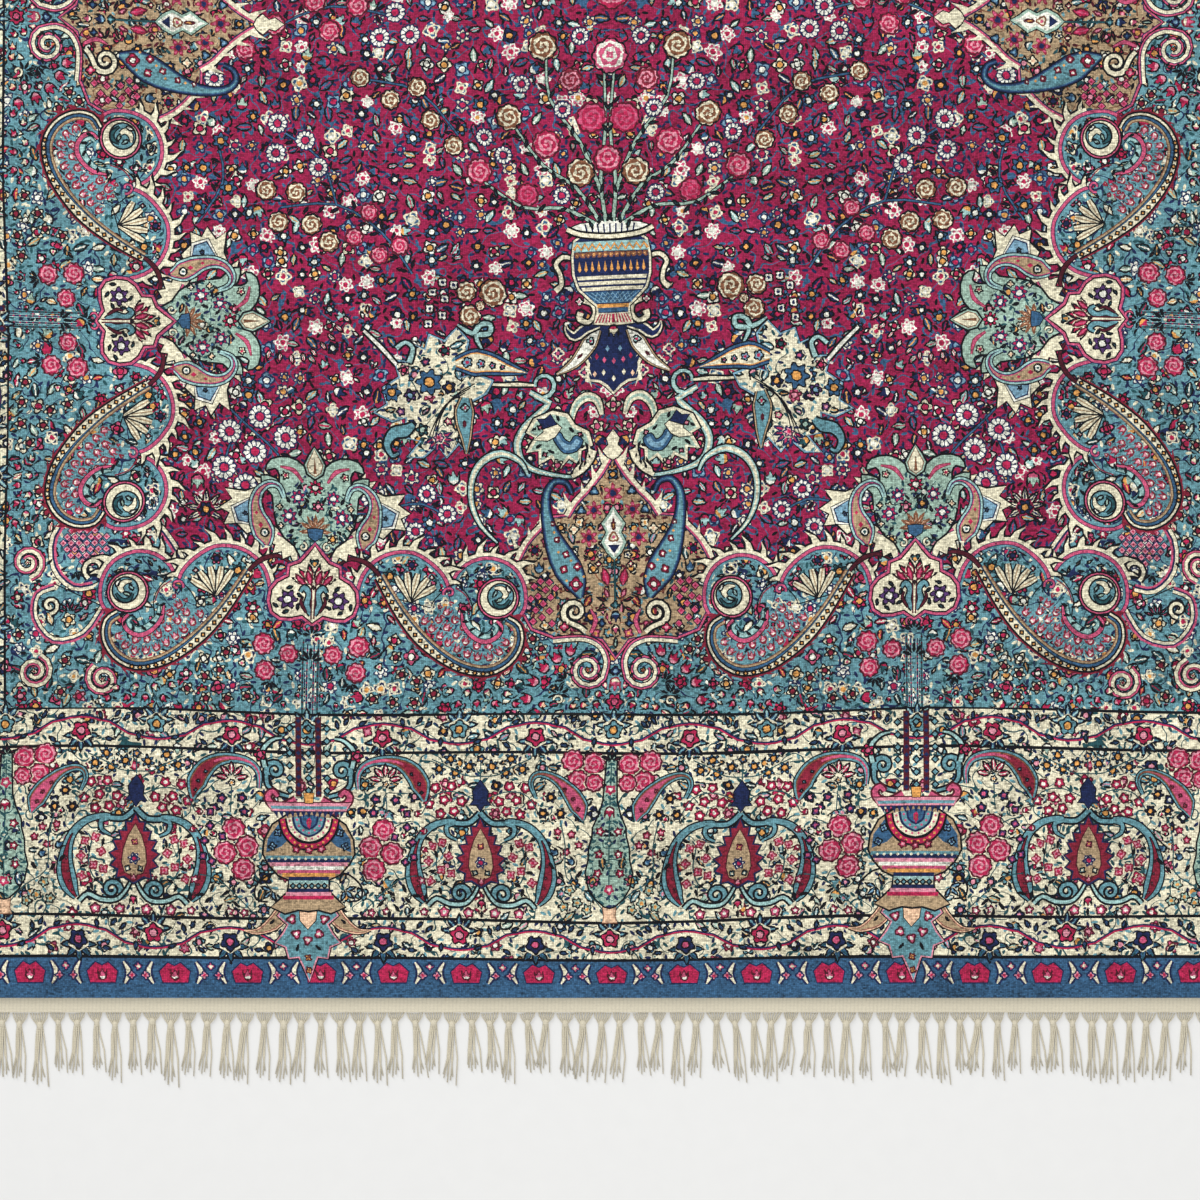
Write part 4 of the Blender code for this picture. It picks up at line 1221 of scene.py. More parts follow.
# %% [markdown]
# ## The arched medallion
# Two long teal botehs bend up from a spiral foot and meet over a flame-edged red palmette, with a bud on
# top. It repeats more often than anything else in the border, so its outlines have few corners.
# %% The arched medallion
def medallion_side():
    """The right half: the long boteh that frames the arch, and its foot."""
    half = Chart()
    frame = flow([(1.9, 10.1), (2.6, 9.7), (2.7, 9), (2, 8.7), (2.6, 8.6), (3.9, 9), (4.9, 10),
                  (5.35, 11.4), (5.4, 12.9), (5, 14.3), (4.5, 15.1)])
    half.boteh(frame, (0.06, 0.14, 0.16, 0.2, 0.24, 0.26, 0.34, 0.5, 0.68, 0.66, 0.2), ("ink", -0.12),
               ("teal", 0))
    half.boteh(frame[18:], (0, 0.06, 0.16, 0.28, 0.3, 0.2, 0.02), ("ink", -0.08), ("brick", 0))
    several(half, [(5.35, 12), (5.2, 13), (5.05, 13.8), (4.8, 14.5)], 0.19, "ivory sky wine", petals=4)
    # The arch over the palmette, meeting its twin in a point.
    half.stem(flow([(0, 7.9), (0.35, 8.3), (1, 8.75), (2, 8.75)]), 0.16, "teal", "ink")
    several(half, [(0.9, 4.2), (2, 4.7), (2.4, 3.6), (3.3, 4.4)], 0.6, "blue gold ink", petals=6, depth=0.4)
    several(half, [(2.3, 5.8), (3.6, 5.9), (2.9, 6.9), (1.5, 7), (4.1, 7.2), (2.1, 7.8), (3.2, 8)], 0.5,
            "crimson ivory wine", depth=0.22)
    half.stem(flow([(0, 7.2), (1, 6.6), (2.4, 6.2), (3.8, 6.6), (4.7, 8)]), 0.05, "pine")
    half.stem(flow([(0, 5), (1.3, 4.9), (2.6, 4.2), (3.9, 3.6)]), 0.05, "pine")
    # Little vines between frame and palmette.
    vine = flow([(2, 14.2), (3.2, 13.4), (3.6, 12), (3.4, 10.6), (3.7, 10)])
    half.stem(vine, 0.06, "pine")
    several(half, [(3.1, 10.3), (3.9, 10.6), (2.6, 11.4), (4.2, 11.8), (3.2, 12.5), (2.4, 12.8),
                   (4.1, 13.4)], 0.44, "pink crimson brick", petals=4)
    several(half, [(3.6, 11.2), (2.9, 13.6), (3.9, 12.6), (2.5, 10.7), (3.3, 14.2), (4.2, 10)], 0.38,
            "aqua pine ink", "leaf")
    half.stem(volute(1.7, 14.4, 0.75, 0.2, 150, 1.2), (0.18, 0.14, 0.08), "teal", "ink")
    half.stem(flow([(0.2, 13.7), (0.7, 14.6), (1.4, 15.2), (2.6, 15.2), (3.6, 14.8), (4.3, 15.4)]),
              (0.06, 0.14, 0.12), "aqua", "ink")
    several(half, [(1.05, 15.9), (3, 15.9)], 0.5, "rose ivory wine", depth=0.2)
    several(half, [(5.9, 8.2), (6.2, 9.7), (6.3, 11.1)], 0.4, "crimson ivory ink", "bud")
    return half


def medallion():
    """The whole medallion with the red palmette inside."""
    whole = Chart()
    whole.both(medallion_side())
    jag = [(0, 8.3), (0.35, 9), (0.8, 9), (0.7, 9.7), (1.3, 9.7), (1.1, 10.4), (1.75, 10.5), (1.4, 11.2),
           (2, 11.5), (1.5, 12), (1.9, 12.5), (1.3, 12.8), (1.4, 13.5), (0.8, 13.4), (0, 13.9)]
    whole.patch(mirrored(jag), ("ink", 0.1), ("navy", 0.03), ("brick", -0.12))
    core = [(0, 9.2), (0.5, 10.1), (0.85, 11.2), (0.95, 12.2), (0.7, 13), (0, 13.3)]
    whole.patch(mirrored(core), ("wine", 0.1), ("sand", 0))
    several(whole, [(0, 11.9)], 0.52, DAISY, petals=6)
    several(whole, [(0, 10.6)], 0.34, "rose gold wine", petals=4)
    several(whole, [(0.5, 12.7), (-0.5, 12.7)], 0.32, "teal cream ink", petals=4)
    several(whole, [(0, 13.4)], 0.42, BRIGHT_ROSE, "bud", turn=270)
    whole.stem([(0, 3.3), (0, 5.2)], 0.05, "pine")
    several(whole, [(0, 3.6)], 0.42, "blue gold ink")
    whole.patch(mirrored([(0, 5.3), (0.6, 6.2), (0.5, 6.9), (0.85, 7.3), (0.3, 7.3), (0, 7.8)]),
                ("ink", 0.1), ("navy", 0))
    whole.bloom(0, 6.5, 0.5, "gold brown navy", "leaf", 0.3, 90)
    whole.bloom(0, 15.2, 0.5, "crimson rose ink", "bud", turn=90)
    whole.bloom(0, 16, 0.36, "navy sky ink", "leaf", turn=90)
    return whole


MEDALLION = medallion()
print("a medallion has", len(MEDALLION.areas), "areas")

# %% [markdown]
# ## The border vase
# A round vase stands in the border with its bars reaching back into the field. It is banded in teal, pink
# and sand, has a curled pink rim and blue leaves at its foot, and a teal pendant under it crosses the
# outer guard. Roses climb on both sides of it below a pair of small botehs bent like handles.
# %% The border vase
def vase_side():
    """A bent boteh, roses and leaves to the right of the vase."""
    half = Chart()
    arch = flow([(4, 6), (4, 4.8), (4.7, 3.95), (6.2, 3.65), (7.6, 4), (8.6, 4.9), (9.15, 6.1), (9.3, 7)])
    half.boteh(arch, (0.12, 0.2, 0.26, 0.34, 0.5, 0.72, 0.76, 0.16), ("ink", -0.11), ("teal", 0),
               ("ink", 0.16), ("brown", 0.2), ("brick", 0.3))
    half.stem(arch[:13], (0.03, 0.08, 0.12, 0.08), "rose")
    several(half, [(8.9, 5.6), (9.1, 6.3), (8.3, 4.8)], 0.22, "navy sky ink", petals=4)
    fan(half, 6.2, 5.3, 0.85, 190, 350, 5, "crimson ivory ink", 0.62, 0.5)
    half.bloom(6.2, 5.6, 0.34, "ivory gold ink")
    half.stem([(6.2, 5.9), (6.3, 8)], 0.05, "pine")
    several(half, [(5.4, 6.8), (7, 6.9), (5.2, 7.9), (7.6, 7.7)], 0.5, "navy rose ink")
    half.stem(flow([(4.7, 13), (5.4, 10.6), (7, 9), (8.2, 8.6)]), 0.05, "pine")
    several(half, [(6, 9.3), (4.95, 10.7), (6.65, 11.2), (5.2, 12.5)], 1.02, BRIGHT_ROSE, "rose")
    several(half, [(7.9, 9.1), (8.3, 10.3), (7.9, 8), (7.7, 11.9), (8.4, 11.5), (6.9, 9.9)], 0.42,
            "plum rose ink", petals=4, depth=0.25)
    several(half, [(8.8, 8), (9.2, 9.4), (9.3, 10.9)], 0.42, "crimson ivory wine", "bud")
    several(half, [(6.5, 14.4), (7.6, 14), (8.6, 14.6), (5.7, 15.3), (7, 15.6), (8.2, 15.8)], 0.46,
            "crimson navy ink", "leaf", 0.34)
    several(half, [(5, 16), (6.2, 15.9), (9.2, 15.9), (9, 13.4)], 0.42, "rose ivory wine")
    several(half, [(6.9, 13.5), (5.9, 14.2), (7.9, 15), (9.3, 14.8), (6.4, 16.1)], 0.42, "navy blue ink",
            "leaf")
    half.stem(flow([(4.3, 16), (5.6, 14.7), (7.2, 13.3), (8.6, 13)]), 0.05, "pine")
    # Spirals at the bars, the rim's curls, handles and leaves of the foot.
    half.stem(volute(2.7, 4.5, 0.75, 0.22, 40, -1.25), (0.2, 0.16, 0.1), "teal", "ink")
    half.stem(flow([(3.5, 4.3), (3.7, 3), (2.9, 2.1), (2.1, 1.9)]), (0.16, 0.14, 0.06), "aqua", "ink")
    half.stem(flow([(3.4, 4.9), (3.3, 5.7), (2.6, 6.3), (1.6, 6.6)]), (0.14, 0.12, 0.1), "teal", "ink")
    half.stem(flow([(1, 6.9), (2.1, 7.4), (3, 7.2), (3.3, 6.6), (2.9, 6.2), (2.5, 6.6)]),
              (0.3, 0.26, 0.24, 0.2, 0.12), "rose", "wine")
    half.bloom(3.9, 3.3, 0.62, "crimson rose ink")
    handle = flow([(2, 12.7), (3.2, 12.9), (4.2, 13.9), (4.1, 14.9), (3.2, 15.1)])
    half.stem(handle, 0.08, "ink")
    fan(half, 2.9, 14.2, 0.5, -20, 110, 3, "blue sky ink", 0.55, 0.42)
    foot = flow([(1.7, 14.9), (2, 15.9), (2.8, 16.9), (4, 17.5), (5, 17.4)])
    half.boteh(foot, (0.3, 0.62, 0.55, 0.26, 0.04), ("ink", -0.1), ("peach", 0), ("brick", 0.1),
               ("sand", 0.16))
    half.bloom(2.05, 15.8, 0.34, "navy sky ink", petals=4)
    half.bloom(2.8, 16.7, 0.3, "teal navy ink", "leaf", 0.45, 45)
    return half


def border_vase():
    """The whole vase on its bars, with what stands on both sides of it."""
    whole = Chart()
    for x in (-0.8, 0.8):
        whole.stem([(x, 0.2), (x, 6.6)], 0.24, "wine")
        whole.beads([(x, 0.2), (x, 6.6)], 0.62, 0.2, "navy")
    for x in (-1.5, 0, 1.5):
        whole.beads([(x, 0.6), (x, 6.6)], 0.95, 0.2, "teal", "ink")
    whole.both(vase_side())
    pendant = [(0, 15.2), (1.7, 15.2), (2.3, 16.2), (1.5, 16.9), (1.9, 17.7), (2.5, 18.4), (1.7, 18.7),
               (1.5, 19.6), (0.7, 19.5), (0.35, 20.3), (0, 21.4)]
    whole.patch(mirrored(pendant), ("ink", 0.24), ("pink", 0.13), ("teal", 0))
    whole.patch(mirrored([(0, 15.4), (0.7, 15.6), (0.6, 16.6), (0, 17.3)]), ("ink", 0.08), ("peach", 0))
    several(whole, [(0, 18.2), (0.9, 17.7), (-0.9, 17.7), (1.3, 16.5), (-1.3, 16.5)], 0.46,
            "rose ivory wine", petals=3)
    several(whole, [(0, 19.6), (0, 20.6)], 0.34, "gold brown wine", petals=4)
    several(whole, [(0.8, 18.8), (-0.8, 18.8)], 0.36, "navy sky ink", "leaf")
    body = [(0, 7.7), (1.6, 8), (2.9, 8.9), (3.5, 10.1), (3.6, 11.2), (3.2, 12), (2.4, 12.9), (1.5, 13.3),
            (1.6, 14.3), (2.3, 15), (2.9, 15.5), (1.8, 16), (0.8, 15.7), (0, 15.8)]
    whole.patch(mirrored(body), ("ink", 0.16), ("sand", 0))
    whole.patch(mirrored([(0, 8), (2.3, 8.6), (3.3, 10), (3.4, 11.1), (2.2, 10.6), (1.6, 10), (0, 9.9)]),
                ("blue", 0))
    arcs = (((2.15, 8.4, 9.5, 10.6), ("ink", "crimson")), ((1.6, 8.3, 9.2, 10), ("ink", "cream")),
            ((1, 8.2, 8.9, 9.5), ("navy", "teal")))
    for ring, yarns in arcs:
        wide, top, mid, low = ring
        arc = flow([(wide, top), (wide * 0.85, mid), (wide * 0.45, low - 0.2), (0, low)])
        arc += [(-x, y) for x, y in arc[-2::-1]]
        whole.stem(arc, 0.2, yarns[1], yarns[0])
        whole.beads(arc, 0.5, 0.12, "rose" if wide < 2 else "gold")
    several(whole, [(0, 8.7)], 0.5, "gold brown crimson", "leaf", turn=90)
    several(whole, [(2.5, 9.5), (-2.5, 9.5), (2.9, 10.6), (-2.9, 10.6)], 0.4, "sky navy ink", petals=4)
    several(whole, [(1, 10.8), (-1, 10.8), (0, 10.9)], 0.42, "crimson pink wine")
    stripes = ((11.5, 3.45, "teal"), (11.75, 3.3, "navy"), (12.05, 3.1, "pink"), (12.35, 2.8, "ivory"),
               (12.65, 2.5, "rose"), (12.9, 2.1, "gold"), (13.2, 1.6, "navy"), (13.5, 1.55, "aqua"),
               (13.85, 1.55, "cream"), (14.15, 1.6, "navy"), (14.45, 1.8, "pink"), (14.75, 2, "crimson"))
    for y, wide, yarn in stripes:
        whole.fill([(-wide, y - 0.15), (wide, y - 0.15), (wide, y + 0.15), (-wide, y + 0.15)], yarn)
    whole.beads([(-3.2, 11.6), (3.2, 11.6)], 0.55, 0.13, "cream")
    whole.beads([(-1.5, 13.8), (1.5, 13.8)], 0.5, 0.13, "teal", "ink")
    whole.patch([(-3.4, 7.1), (3.4, 7.1), (3, 7.75), (-3, 7.75)], ("wine", 0.1), ("pink", 0))
    whole.fill([(-3.1, 7.35), (3.1, 7.35), (3, 7.6), (-3, 7.6)], "teal")
    for i in range(-6, 7):
        whole.fill([(0.45 * i - 0.2, 7.75), (0.45 * i + 0.2, 7.75), (0.42 * i, 8.35)], "navy")
    whole.patch([(-0.4, 6.3), (0.4, 6.3), (0.3, 7.1), (-0.3, 7.1)], ("ink", 0.08), ("gold", 0))
    return whole


BORDER_VASE = border_vase()
print("a border vase has", len(BORDER_VASE.areas), "areas")
# %% [markdown]
# ## Guards, the blue band and the corner square
# The guards carry a two-ply wavy vine in red and navy with a flower in every bend. The outermost band is
# blue, with red half palmettes and cream brackets. A square with a large rosette turns the main border at
# the corner.
# %% One period of each narrow border
def guard_repeat(period, mid, flowers):
    """The vine of a guard over one period: flowers are the yarns in its outward and its inward bend."""
    guard = Chart()
    wave = [(period * i / 16, mid + 0.85 * math.cos(2 * math.pi * i / 16)) for i in range(-1, 18)]
    wave = [(x, mid + (y - mid) * (1.4 if abs(y - mid) < 0.5 else 1)) for x, y in wave]
    guard.bands(wave, ("crimson", 0, 0.13), ("navy", -0.13, 0))
    for place, side, yarns in ((0, -1, flowers[0]), (0.5, 1, flowers[1]), (1, -1, flowers[0])):
        x, y = place * period, mid - side * -0.3
        fan(guard, x, y + 0.3 * side, 0.8, 90 * side - 85, 90 * side + 85, 5, yarns[1], 0.78, 0.4)
        guard.bloom(x, y, 0.86, yarns[0], depth=0.25, turn=90 * side)
    leaves = ((0.12, 0.7), (0.2, -0.75), (0.31, 0.95), (0.37, -0.9), (0.63, -0.9), (0.69, 0.95),
              (0.8, -0.75), (0.88, 0.7), (0.26, -1.05), (0.74, -1.05))
    for place, w in leaves:
        guard.bloom(place * period, mid + w, 0.46, "blue navy ink", "leaf", 0.5, 400 * place + 50 * w)
    return guard


def band_repeat(period, mid):
    """The blue band over one period."""
    band = Chart()
    for x in (0, period):
        band.patch([(x - 1, mid + 0.75), (x - 1.2, mid - 0.1), (x - 0.5, mid - 0.75), (x, mid - 0.5),
                    (x + 0.5, mid - 0.75), (x + 1.2, mid - 0.1), (x + 1, mid + 0.75)], ("navy", 0.12),
                   ("crimson", 0))
        band.bloom(x, mid + 0.15, 0.55, "rose ivory wine", "bud", turn=270)
    for side in (-1, 1):
        x = period / 2 + side * period * 0.2
        bracket = flow([(x, mid - 0.85), (x - 0.4 * side, mid), (x, mid + 0.85)])
        band.stem(bracket, (0.05, 0.2, 0.05), "cream", "navy")
        band.bloom(period / 2 + side * 0.55, mid + 0.2, 0.42, "pink crimson navy", petals=4)
    band.bloom(period / 2, mid - 0.5, 0.42, "rose cream navy", petals=4)
    return band


def corner_square():
    """The square where two sides of the main border meet, four times the same."""
    square = Chart()
    square.patch([(-6.3, -6.3), (6.3, -6.3), (6.3, 6.3), (-6.3, 6.3)], ("ink", 0.14), ("cream meadow", 0))
    for turn in (0, 90, 180, 270):
        corner = Chart()
        spine = flow([(2.6, 0.3), (3.6, 0.7), (4.6, 1.9), (4.6, 3.4), (3.6, 4.6), (3.2, 4)])
        corner.boteh(spine, (0.1, 0.26, 0.5, 0.7, 0.5, 0.1), ("ink", -0.12), ("teal", 0), ("crimson", 0.24),
                     ("wine", 0.4))
        several(corner, [(4.6, 2.4), (4.5, 3.3), (3.9, 4.1)], 0.2, "ivory sky wine", petals=4)
        corner.bloom(5.2, 5.2, 0.95, BRIGHT_ROSE, "rose")
        several(corner, [(5.5, 0.6), (5.6, 3.9), (3.9, 5.6)], 0.52, "navy gold ink", petals=6)
        several(corner, [(2.2, 2.5), (3.2, 2.6), (5.6, 2), (2.4, 5.5), (0.6, 4.4)], 0.44,
                "pink crimson brick")
        several(corner, [(5.4, -0.6), (0.6, 5.5), (1.6, 4.8), (3, 1.6), (5.7, 1.3), (1.7, 3.5), (4.7, 5.8),
                         (5.8, 4.7)], 0.4, "pine sage ink", "leaf")
        square.put(corner, turn=turn)
    for i in range(12):
        a = 30 * i
        square.bloom(2.1 * math.cos(math.radians(a)), 2.1 * math.sin(math.radians(a)), 0.9,
                     "brick navy ink" if i % 2 else "sand brown ink", "leaf", 0.36, a)
    square.bloom(0, 0, 1.7, "teal cream ink", petals=8, depth=0.2)
    square.bloom(0, 0, 0.85, "crimson gold wine", petals=6)
    return square


RED_LOTUS = ("crimson pink ink", "navy teal ink")
TEAL_LOTUS = ("teal gold ink", "blue aqua ink")
NAVY_LOTUS = ("navy rose ink", "blue pine ink")
SQUARE = corner_square()
print("the corner square has", len(SQUARE.areas), "areas")

# %% [markdown]
# ## The quarter chart
# Everything is put down on one quarter of the rug: x runs out from the middle to the side and y from the
# middle to the end, both in centimetres. The red ground comes first, then the small flowers, and the
# large figures on top.
# %% Put the quarter together
GUARD_PITCH, BLUE_PITCH = 12.1, 5.8


def stand_on_end(chart, motif, x, out=0.0):
    """A motif whose foot is on the field's end line, or further out, pointing inwards."""
    chart.put(motif, x, FIELD_Y + out, 180, flip=True)


def stand_on_side(chart, motif, y, out=0.0):
    """The same along the side of the rug."""
    chart.put(motif, FIELD_X + out, y, 90)


def ring(chart, low, high, yarn):
    """A band right round the quarter between two distances out from the field."""
    chart.fill([(-1, FIELD_Y + low), (FIELD_X + low, FIELD_Y + low), (FIELD_X + low, -1),
                (FIELD_X + high, -1), (FIELD_X + high, FIELD_Y + high), (-1, FIELD_Y + high)], yarn)


def all_round(chart, motif, ends=(), sides=()):
    """A border motif on the end at each x and on the side at each y."""
    for x in ends:
        chart.put(motif, x, FIELD_Y)
    for y in sides:
        chart.put(motif, FIELD_X, y, -90, flip=True)


def lay_borders(chart):
    """Lay the grounds, lines, guards and motifs of the borders round the field."""
    guard, main, outer, blue = RINGS[1:]
    ring(chart, 0.0, outer, "cream meadow")
    lines = ((0.0, "ink", 0.1), (guard, "ink", 0.12), (main, "ink", 0.12), (outer, "ink", 0.12))
    for out, yarn, half in lines:
        ring(chart, out - half, out + half, yarn)
    inner = guard_repeat(GUARD_PITCH, guard / 2, (TEAL_LOTUS, RED_LOTUS))
    far = guard_repeat(GUARD_PITCH, (main + outer) / 2, (RED_LOTUS, NAVY_LOTUS))
    blues = band_repeat(BLUE_PITCH, (outer + blue) / 2)
    for motif, pitch, ends, sides in ((inner, GUARD_PITCH, range(4), range(-1, 7)),
                                      (far, GUARD_PITCH, range(5), range(-1, 8)),
                                      (blues, BLUE_PITCH, range(12), range(17))):
        all_round(chart, motif, [pitch * i for i in ends], [pitch * i for i in sides])
    for out in (guard / 2, (main + outer) / 2, (outer + blue) / 2):
        spot = (FIELD_X + out, FIELD_Y + out)
        yarn = "cream" if out < main + 2 else "blue"
        chart.patch(oval(*spot, 1.35, 1.35, 4, 45), ("ink", 0.1), (yarn, 0))
        chart.bloom(*spot, 1.0, "crimson pink ink", petals=8, depth=0.25)
    all_round(chart, MEDALLION, (10.3, 37.9), (-13.8, 13.8, 34.2, 61.8))
    all_round(chart, CYPRESS, (0.0, 48.2), (24.0, 72.0))
    all_round(chart, BORDER_VASE, (24.1,), (0.0, 48.0))
    chart.put(SQUARE, FIELD_X + (guard + main) / 2, FIELD_Y + (guard + main) / 2)


def quarter_chart():
    """The whole quarter: grounds first, then the field, the palmettes and the borders."""
    chart = Chart()
    grounds = ((HALF_WIDTH, HALF_LENGTH, "blue"), (FIELD_X, FIELD_Y, "teal meadow"),
               (FIELD_X - TEAL_DEPTH, FIELD_Y - TEAL_DEPTH, "red meadow"))
    for x, y, yarn in grounds:
        chart.fill([(-1, -1), (x, -1), (x, y), (-1, y)], yarn)
    chart.put(field_sprays())
    chart.put(SCROLLS)
    chart.put(SCROLLS, flip=True)
    chart.put(GREAT_LEAF)
    chart.put(VASE, 0.0, 40.5)
    stand_on_end(chart, OGEE, 0.0)
    stand_on_side(chart, OGEE, 24.0)
    chart.put(CORNER)
    for x in (24.0, -24.0):
        stand_on_end(chart, PALMETTE, x)
    for y in (48.0, 0.0):
        stand_on_side(chart, PALMETTE, y)
    lay_borders(chart)
    chart.areas = [row for row in chart.areas if near_quarter(row[0])]
    return chart


def near_quarter(corners):
    """Whether any of an area reaches into the quarter."""
    return any(x > -0.5 and y > -0.5 for x, y in corners)


QUARTER = quarter_chart()
print("the quarter chart has", len(QUARTER.areas), "areas")

# %% [markdown]
# ## From chart to cloth
# The chart's areas overlap. A constrained Delaunay triangulation cuts all their outlines against each
# other at once, and then each triangle looks up which area was drawn last over its middle: that one gives
# it its yarn. Only a quarter is cut; the other three are its mirror images, as a weaver works them from
# the same chart.
# %% Cut the quarter chart into triangles
SAME_POINT = 0.004
GRID = 2.6
SHARP = math.radians(50)


def cut_outlines(areas):
    """Corners and triangles of the quarter, cut along every area's sides and eased by a coarse grid."""
    points, sides = [], []
    for corners, _, _, cuts in areas:
        first, count = len(points), len(corners)
        points += corners
        sides += [(first + i, first + (i + 1) % count) for i in (range(count) if cuts is None else cuts)]
    across = np.arange(GRID / 2, HALF_WIDTH, GRID)
    down = np.arange(GRID / 2, HALF_LENGTH, GRID)
    points += [(x, y) for x in across for y in down]
    # The mirror lines are cut too, so that the quarters meet without gaps.
    sides += [(len(points), len(points) + 1), (len(points), len(points) + 2)]
    points += [(0, 0), (0, HALF_LENGTH), (HALF_WIDTH, 0)]
    corners, _, triangles, *_ = delaunay_2d_cdt([Vector(p) for p in points], sides, [], 0, SAME_POINT)
    return np.array([tuple(p) for p in corners]), np.array([tuple(t) for t in triangles])


def inside_of(ring, x, y):
    """Which of the places are inside a ring of corners, by counting the sides to the right of each."""
    found = np.zeros(len(x), bool)
    for (ax, ay), (bx, by) in zip(ring, ring[1:] + ring[:1]):
        if ay != by:
            found ^= ((ay > y) != (by > y)) & (x < (bx - ax) * (y - ay) / (by - ay) + ax)
    return found


def topmost(areas, corners, triangles):
    """For each triangle, the yarn drawn last over it, and the bloom drawn over that, or -1."""
    middles = corners[triangles].mean(axis=1)
    order = np.argsort(middles[:, 0])
    xs, ys = middles[order, 0], middles[order, 1]
    yarns = np.full(len(order), -1)
    blooms = np.full(len(order), -1)
    for number, (ring, yarn, bloom, _) in enumerate(areas):
        left, right = min(p[0] for p in ring), max(p[0] for p in ring)
        low, high = min(p[1] for p in ring), max(p[1] for p in ring)
        first, last = np.searchsorted(xs, (left, right))
        near = first + np.nonzero((ys[first:last] > low) & (ys[first:last] < high))[0]
        near = near[inside_of(ring, xs[near], ys[near])]
        if bloom is None:
            yarns[near] = yarn
            blooms[near] = -1
        else:
            blooms[near] = number
    back = np.argsort(order)
    return yarns[back], blooms[back], middles


def bloom_places(corners, triangle, bloom):
    """Where the triangle's corners are in the bloom's own unit frame, and the bloom's size."""
    (x, y), along, up, _ = bloom
    size = math.hypot(*along)
    out = []
    for i in triangle:
        dx, dy = corners[i][0] - x, corners[i][1] - y
        out.append(((dx * along[0] + dy * along[1]) / size**2, (dx * up[0] + dy * up[1]) / size**2, size))
    return out


print("corners within", SAME_POINT * 10, "mm of each other become one")

# %% [markdown]
# ## The pile as meshes
# A hand-made rug is never quite square: the lines wander by a few millimetres as the weaver's tension
# changes. The mirrored cloth is therefore bent a little by slow waves that die out at its edges, and
# lifted onto the folds and rounded shoulders of the body. The pile is made in four pieces, the field and
# its frame of borders at the near and at the far end, because each stays light enough to handle. Each is
# closed by a rim and an underside.
# %% Mirror, bend and close the pile
def wander(x, y):
    """Slow unevenness of the weave, in metres, for arrays of places in metres."""
    calm = ease((PILE_WIDTH / 2 - np.abs(x)) / 0.08) * ease((PILE_LENGTH / 2 - np.abs(y)) / 0.06)
    across = 0.0022 * np.sin(y * 9.1 + 1.3 + x * 2.0) + 0.0013 * np.sin(y * 23.0 + x * 11.0)
    along = 0.0026 * np.sin(x * 8.3 + 0.4 + y * 1.7) + 0.0014 * np.sin(x * 19.0 - y * 9.0 + 2.0)
    return x + calm * across, y + calm * along


def pile_piece(name, areas, corners, triangles, yarns, blooms, end, material):
    """One closed piece of pile from its triangles, mirrored left to right, at one end of the rug."""
    looks = np.zeros((len(triangles), 6))
    places = np.zeros((len(triangles), 3, 3))
    for i in np.nonzero(blooms >= 0)[0]:
        bloom = areas[blooms[i]][2]
        looks[i] = bloom[3]
        places[i] = bloom_places(corners, triangles[i], bloom)
    flat, faces, turned = [], [], []
    for side in (1, -1):
        order = (0, 1, 2) if side * end > 0 else (0, 2, 1)
        flat.append(corners / CM_PER_METRE * (side, end))
        faces.append(triangles[:, order] + len(corners) * len(turned))
        turned.append(places[:, order])
    flat, faces, places = np.concatenate(flat), np.concatenate(faces), np.concatenate(turned)
    used, back = np.unique(faces, return_inverse=True)
    flat, faces = flat[used], back.reshape(-1, 3)
    keys = np.round(flat * 1e6).astype(np.int64)
    _, first, back = np.unique(keys, axis=0, return_index=True, return_inverse=True)
    flat, faces = flat[first], back.reshape(-1)[faces]
    yarns, looks = np.tile(yarns, 2), np.tile(looks, (2, 1))
    sound = (faces[:, 0] != faces[:, 1]) & (faces[:, 1] != faces[:, 2]) & (faces[:, 2] != faces[:, 0])
    faces, yarns, looks, places = faces[sound], yarns[sound], looks[sound], places[sound]
    return close_pile(name, flat, faces, yarns, looks, places, material)


spot = (0.3, 0.4)
moved = wander(*np.array(spot).reshape(2, 1))
off = [round(float(new[0] - old) * 1000, 1) for new, old in zip(moved, spot)]
print("at", spot, "the weave wanders by", off, "mm")

